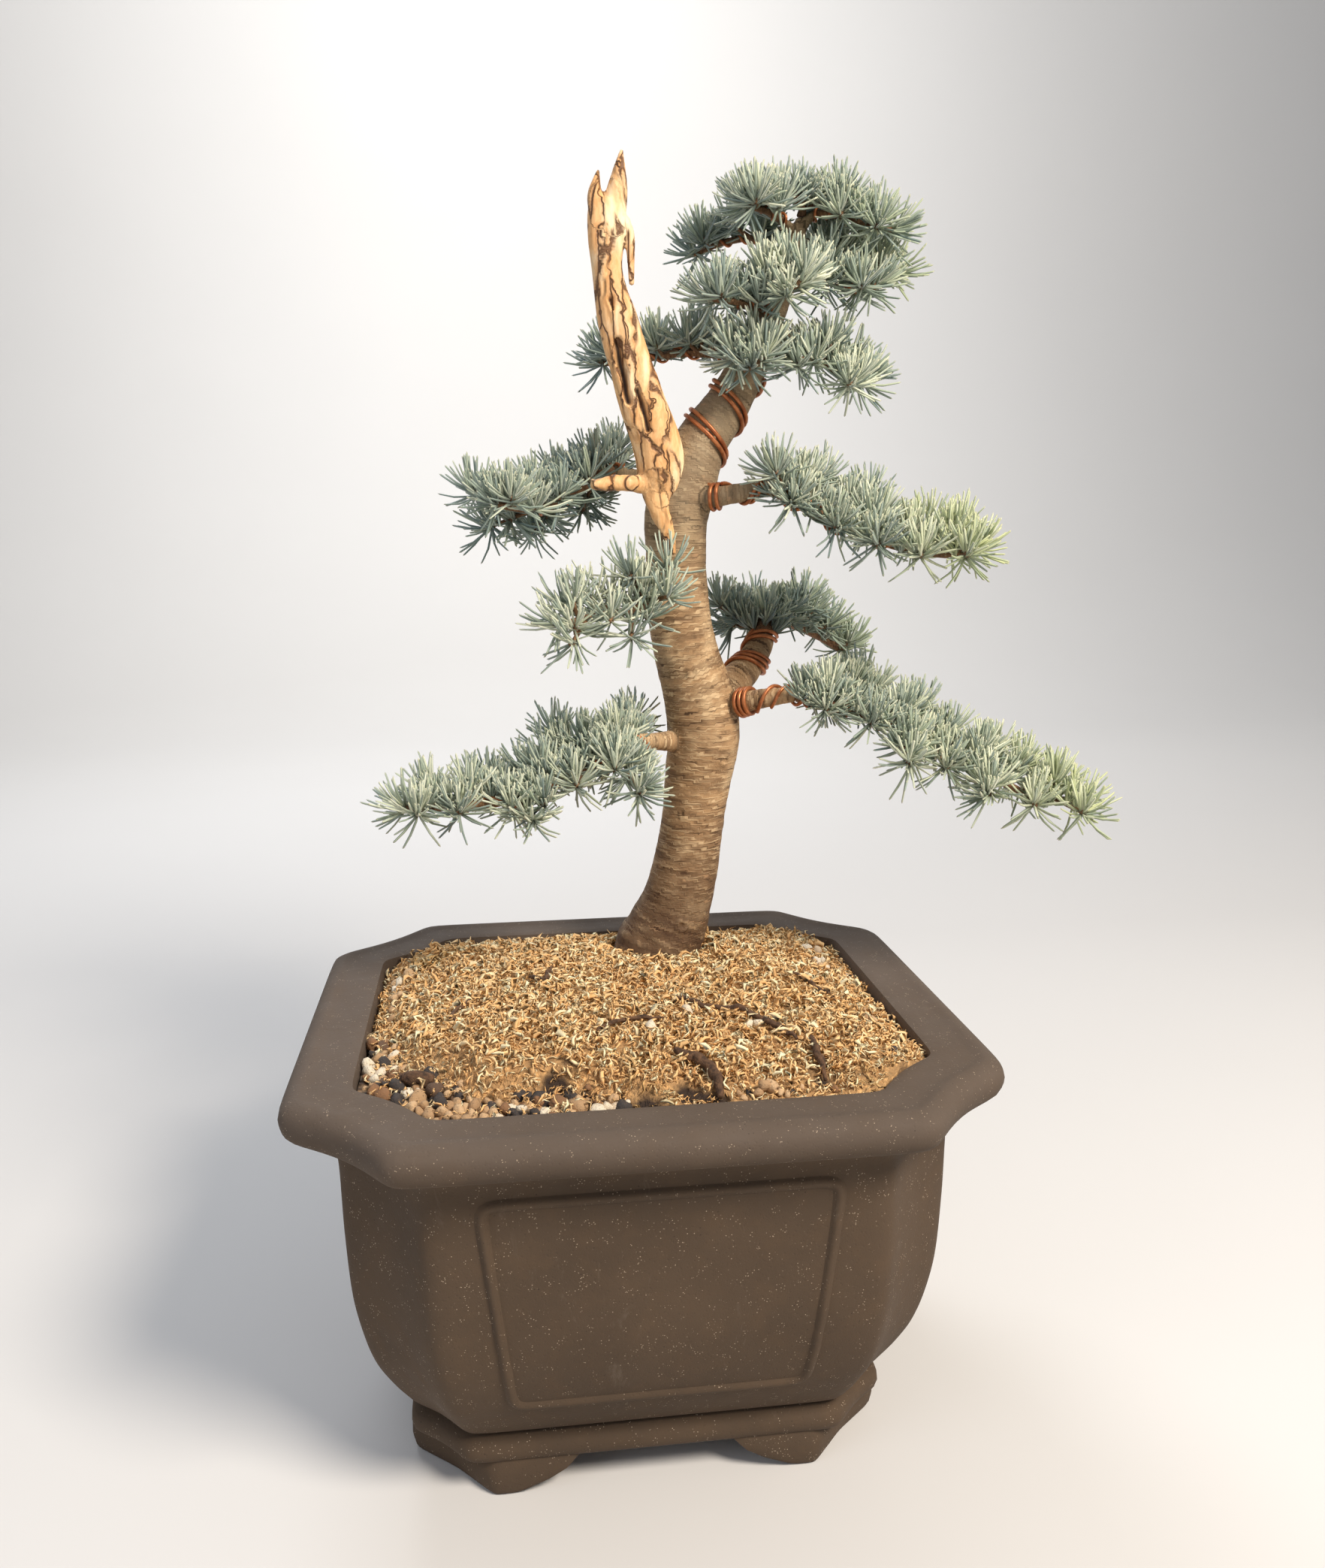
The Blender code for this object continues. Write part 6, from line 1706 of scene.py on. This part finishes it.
class BONSAI_OT_soil(bpy.types.Operator):
    """Lay the moss, its strands, the loose grit and the roots over the soil"""

    bl_idname = "bonsai.soil"
    bl_label = "Soil and moss"

    def execute(self, context):
        colours, sizes = colours_of(context), context.scene.bonsai_sizes
        paint(frame["nodes"]["soil"], soil_finish())
        bed = MossBed()
        settle(moss_piece(colours, bed), "chopped_moss", "moss_dressing")
        curls = shape_collection("curls", curl_shapes())
        straw = moss_finish(colours)
        for name, long, seed in (("moss_strands_under", 1.0, 21), ("moss_strands_over", 0.72, 22)):
            layer = strands(name, sizes.strands, sizes.strand_length * long, seed, bed, curls, straw)
            settle(layer, "chopped_moss")
        remove_collection(curls)
        stones = shape_collection("stones", stone_shapes())
        settle(grit_piece(bed, stones, stone_finish()), "gritty_soil")
        remove_collection(stones)
        settle(stick_piece(bed), "bark")
        return {"FINISHED"}


class BONSAI_OT_trunk(bpy.types.Operator):
    """Build the trunk with its limbs, and the carved deadwood"""

    bl_idname = "bonsai.trunk"
    bl_label = "Trunk and deadwood"

    def execute(self, context):
        settle(trunk_piece(colours_of(context), routes()), "bark", "trunk_and_limbs")
        settle(carved_piece(colours_of(context)), "bare_wood", "deadwood")
        return {"FINISHED"}


class BONSAI_OT_wires(bpy.types.Operator):
    """Wind the training wire on the leader and limbs"""

    bl_idname = "bonsai.wires"
    bl_label = "Training wire"

    def execute(self, context):
        satin, limbs = wire_finish(colours_of(context)), routes()
        for node, coil in WIRES.items():
            bare = wire_piece(node.replace("wire_", "coil_"), [coil], limbs, satin)
            settle(bare, "copper_brown_wire", node)
        for name, coils in SECOND_STRANDS.items():
            settle(wire_piece(name, coils, limbs, satin), "copper_brown_wire")
        return {"FINISHED"}


class BONSAI_OT_sprays(bpy.types.Operator):
    """Grow the tufts of needles on every spray"""

    bl_idname = "bonsai.sprays"
    bl_label = "Needles"

    def execute(self, context):
        colours, sizes = colours_of(context), context.scene.bonsai_sizes
        shapes = shape_collection("needles", needle_shapes())
        scaly, waxy = twig_finish(colours), needle_finish(colours)
        for node in sorted(frame["nodes"]):
            if node.startswith("spray_"):
                tufts, twigs = spray_piece(node, sizes, shapes, scaly, waxy)
                settle(tufts, "blue_needles", node)
                settle(twigs, "blue_needles", node)
        remove_collection(shapes)
        return {"FINISHED"}


def area_light(name, place, aim, size, power, colour):
    """A round light that looks at its aim."""
    lamp = bpy.data.lights.new(name, "AREA")
    lamp.shape = "DISK"
    lamp.size = size
    lamp.energy = power
    lamp.color = colour
    thing = linked(name, lamp)
    thing.location = Vector(place) + Vector(MIDDLE)
    thing.rotation_euler = (Vector(place) - Vector(aim)).to_track_quat("Z", "Y").to_euler()


class BONSAI_OT_stage(bpy.types.Operator):
    """Set the pale floor, soft lights and camera"""

    bl_idname = "bonsai.stage"
    bl_label = "Studio"

    def execute(self, context):
        angles = np.linspace(0.1, math.pi / 2, 14)
        profile = [(-FLOOR_HALF, 0.0), (BEND_START, 0.0)]
        profile += [(BEND_START + BEND * math.sin(a), BEND * (1 - math.cos(a))) for a in angles]
        profile.append((BEND_START + BEND, WALL_TOP))
        points = [(x, y, z - 0.0002) for y, z in profile for x in (-FLOOR_HALF, FLOOR_HALF)]
        faces = [(2 * i, 2 * i + 1, 2 * i + 3, 2 * i + 2) for i in range(len(profile) - 1)]
        floor = mesh_object("studio_floor", points, faces)
        if floor.data.polygons[0].normal.z < 0:
            floor.data.flip_normals()
        f = Finish("plain_paper")
        tint = tuple(colours_of(context).floor)
        paper = f.mix(f.noise(f.place(), 2.0, 2), tint, tuple(c * 0.97 for c in tint))
        paint(floor, f.done(paper, 0.9))
        for name, settings in LIGHTS.items():
            area_light(name, *settings)
        world = bpy.data.worlds.new("studio")
        world.use_nodes = True
        world.node_tree.nodes["Background"].inputs["Color"].default_value = SKY_COLOUR
        world.node_tree.nodes["Background"].inputs["Strength"].default_value = SKY_STRENGTH
        context.scene.world = world
        context.scene.view_settings.view_transform = "Standard"
        self.camera(context)
        return {"FINISHED"}

    def camera(self, context):
        """Puts the camera where the photo was taken from."""
        yaw, pitch, roll = CAMERA_YAW, CAMERA_PITCH, CAMERA_ROLL
        ahead = np.array([math.sin(yaw) * math.cos(pitch), math.cos(yaw) * math.cos(pitch), math.sin(pitch)])
        level = np.array([math.cos(yaw), -math.sin(yaw), 0.0])
        above = np.cross(level, ahead)
        right = math.cos(roll) * level + math.sin(roll) * above
        up = -math.sin(roll) * level + math.cos(roll) * above
        lens = bpy.data.cameras.new("camera")
        lens.sensor_width = FILM_LONG_SIDE
        lens.sensor_fit = "AUTO"
        lens.lens = FOCAL_PIXELS / PHOTO_LONG_SIDE * FILM_LONG_SIDE
        lens.clip_start = 0.01
        turn = np.eye(4)
        turn[:3, 0], turn[:3, 1], turn[:3, 2] = right, up, -ahead
        turn[:3, 3] = np.array(CAMERA_PLACE) + MIDDLE
        eye = linked("camera", lens)
        eye.matrix_world = Matrix(turn.tolist())
        context.scene.camera = eye


class BONSAI_PT_panel(bpy.types.Panel):
    """Lists the steps, the sizes and the colours"""

    bl_label = "Bonsai"
    bl_space_type = "VIEW_3D"
    bl_region_type = "UI"
    bl_category = "Bonsai"

    def draw(self, context):
        for operator in OPERATORS:
            self.layout.operator(operator.bl_idname)
        for group in (context.scene.bonsai_sizes, context.scene.bonsai_colours):
            box = self.layout.box()
            for name in group.__annotations__:
                box.prop(group, name)


OPERATORS = (
    BONSAI_OT_pot, BONSAI_OT_soil, BONSAI_OT_trunk, BONSAI_OT_wires, BONSAI_OT_sprays, BONSAI_OT_stage,
)
CLASSES = (BonsaiColours, BonsaiSizes, *OPERATORS, BONSAI_PT_panel)


def register():
    for made in CLASSES:
        bpy.utils.register_class(made)
    bpy.types.Scene.bonsai_colours = PointerProperty(type=BonsaiColours)
    bpy.types.Scene.bonsai_sizes = PointerProperty(type=BonsaiSizes)


def unregister():
    del bpy.types.Scene.bonsai_colours
    del bpy.types.Scene.bonsai_sizes
    for made in reversed(CLASSES):
        bpy.utils.unregister_class(made)


def main():
    register()
    bpy.ops.bonsai.pot()
    bpy.ops.bonsai.soil()
    bpy.ops.bonsai.trunk()
    bpy.ops.bonsai.wires()
    bpy.ops.bonsai.sprays()
    bpy.ops.bonsai.stage()


if __name__ == "__main__":
    main()
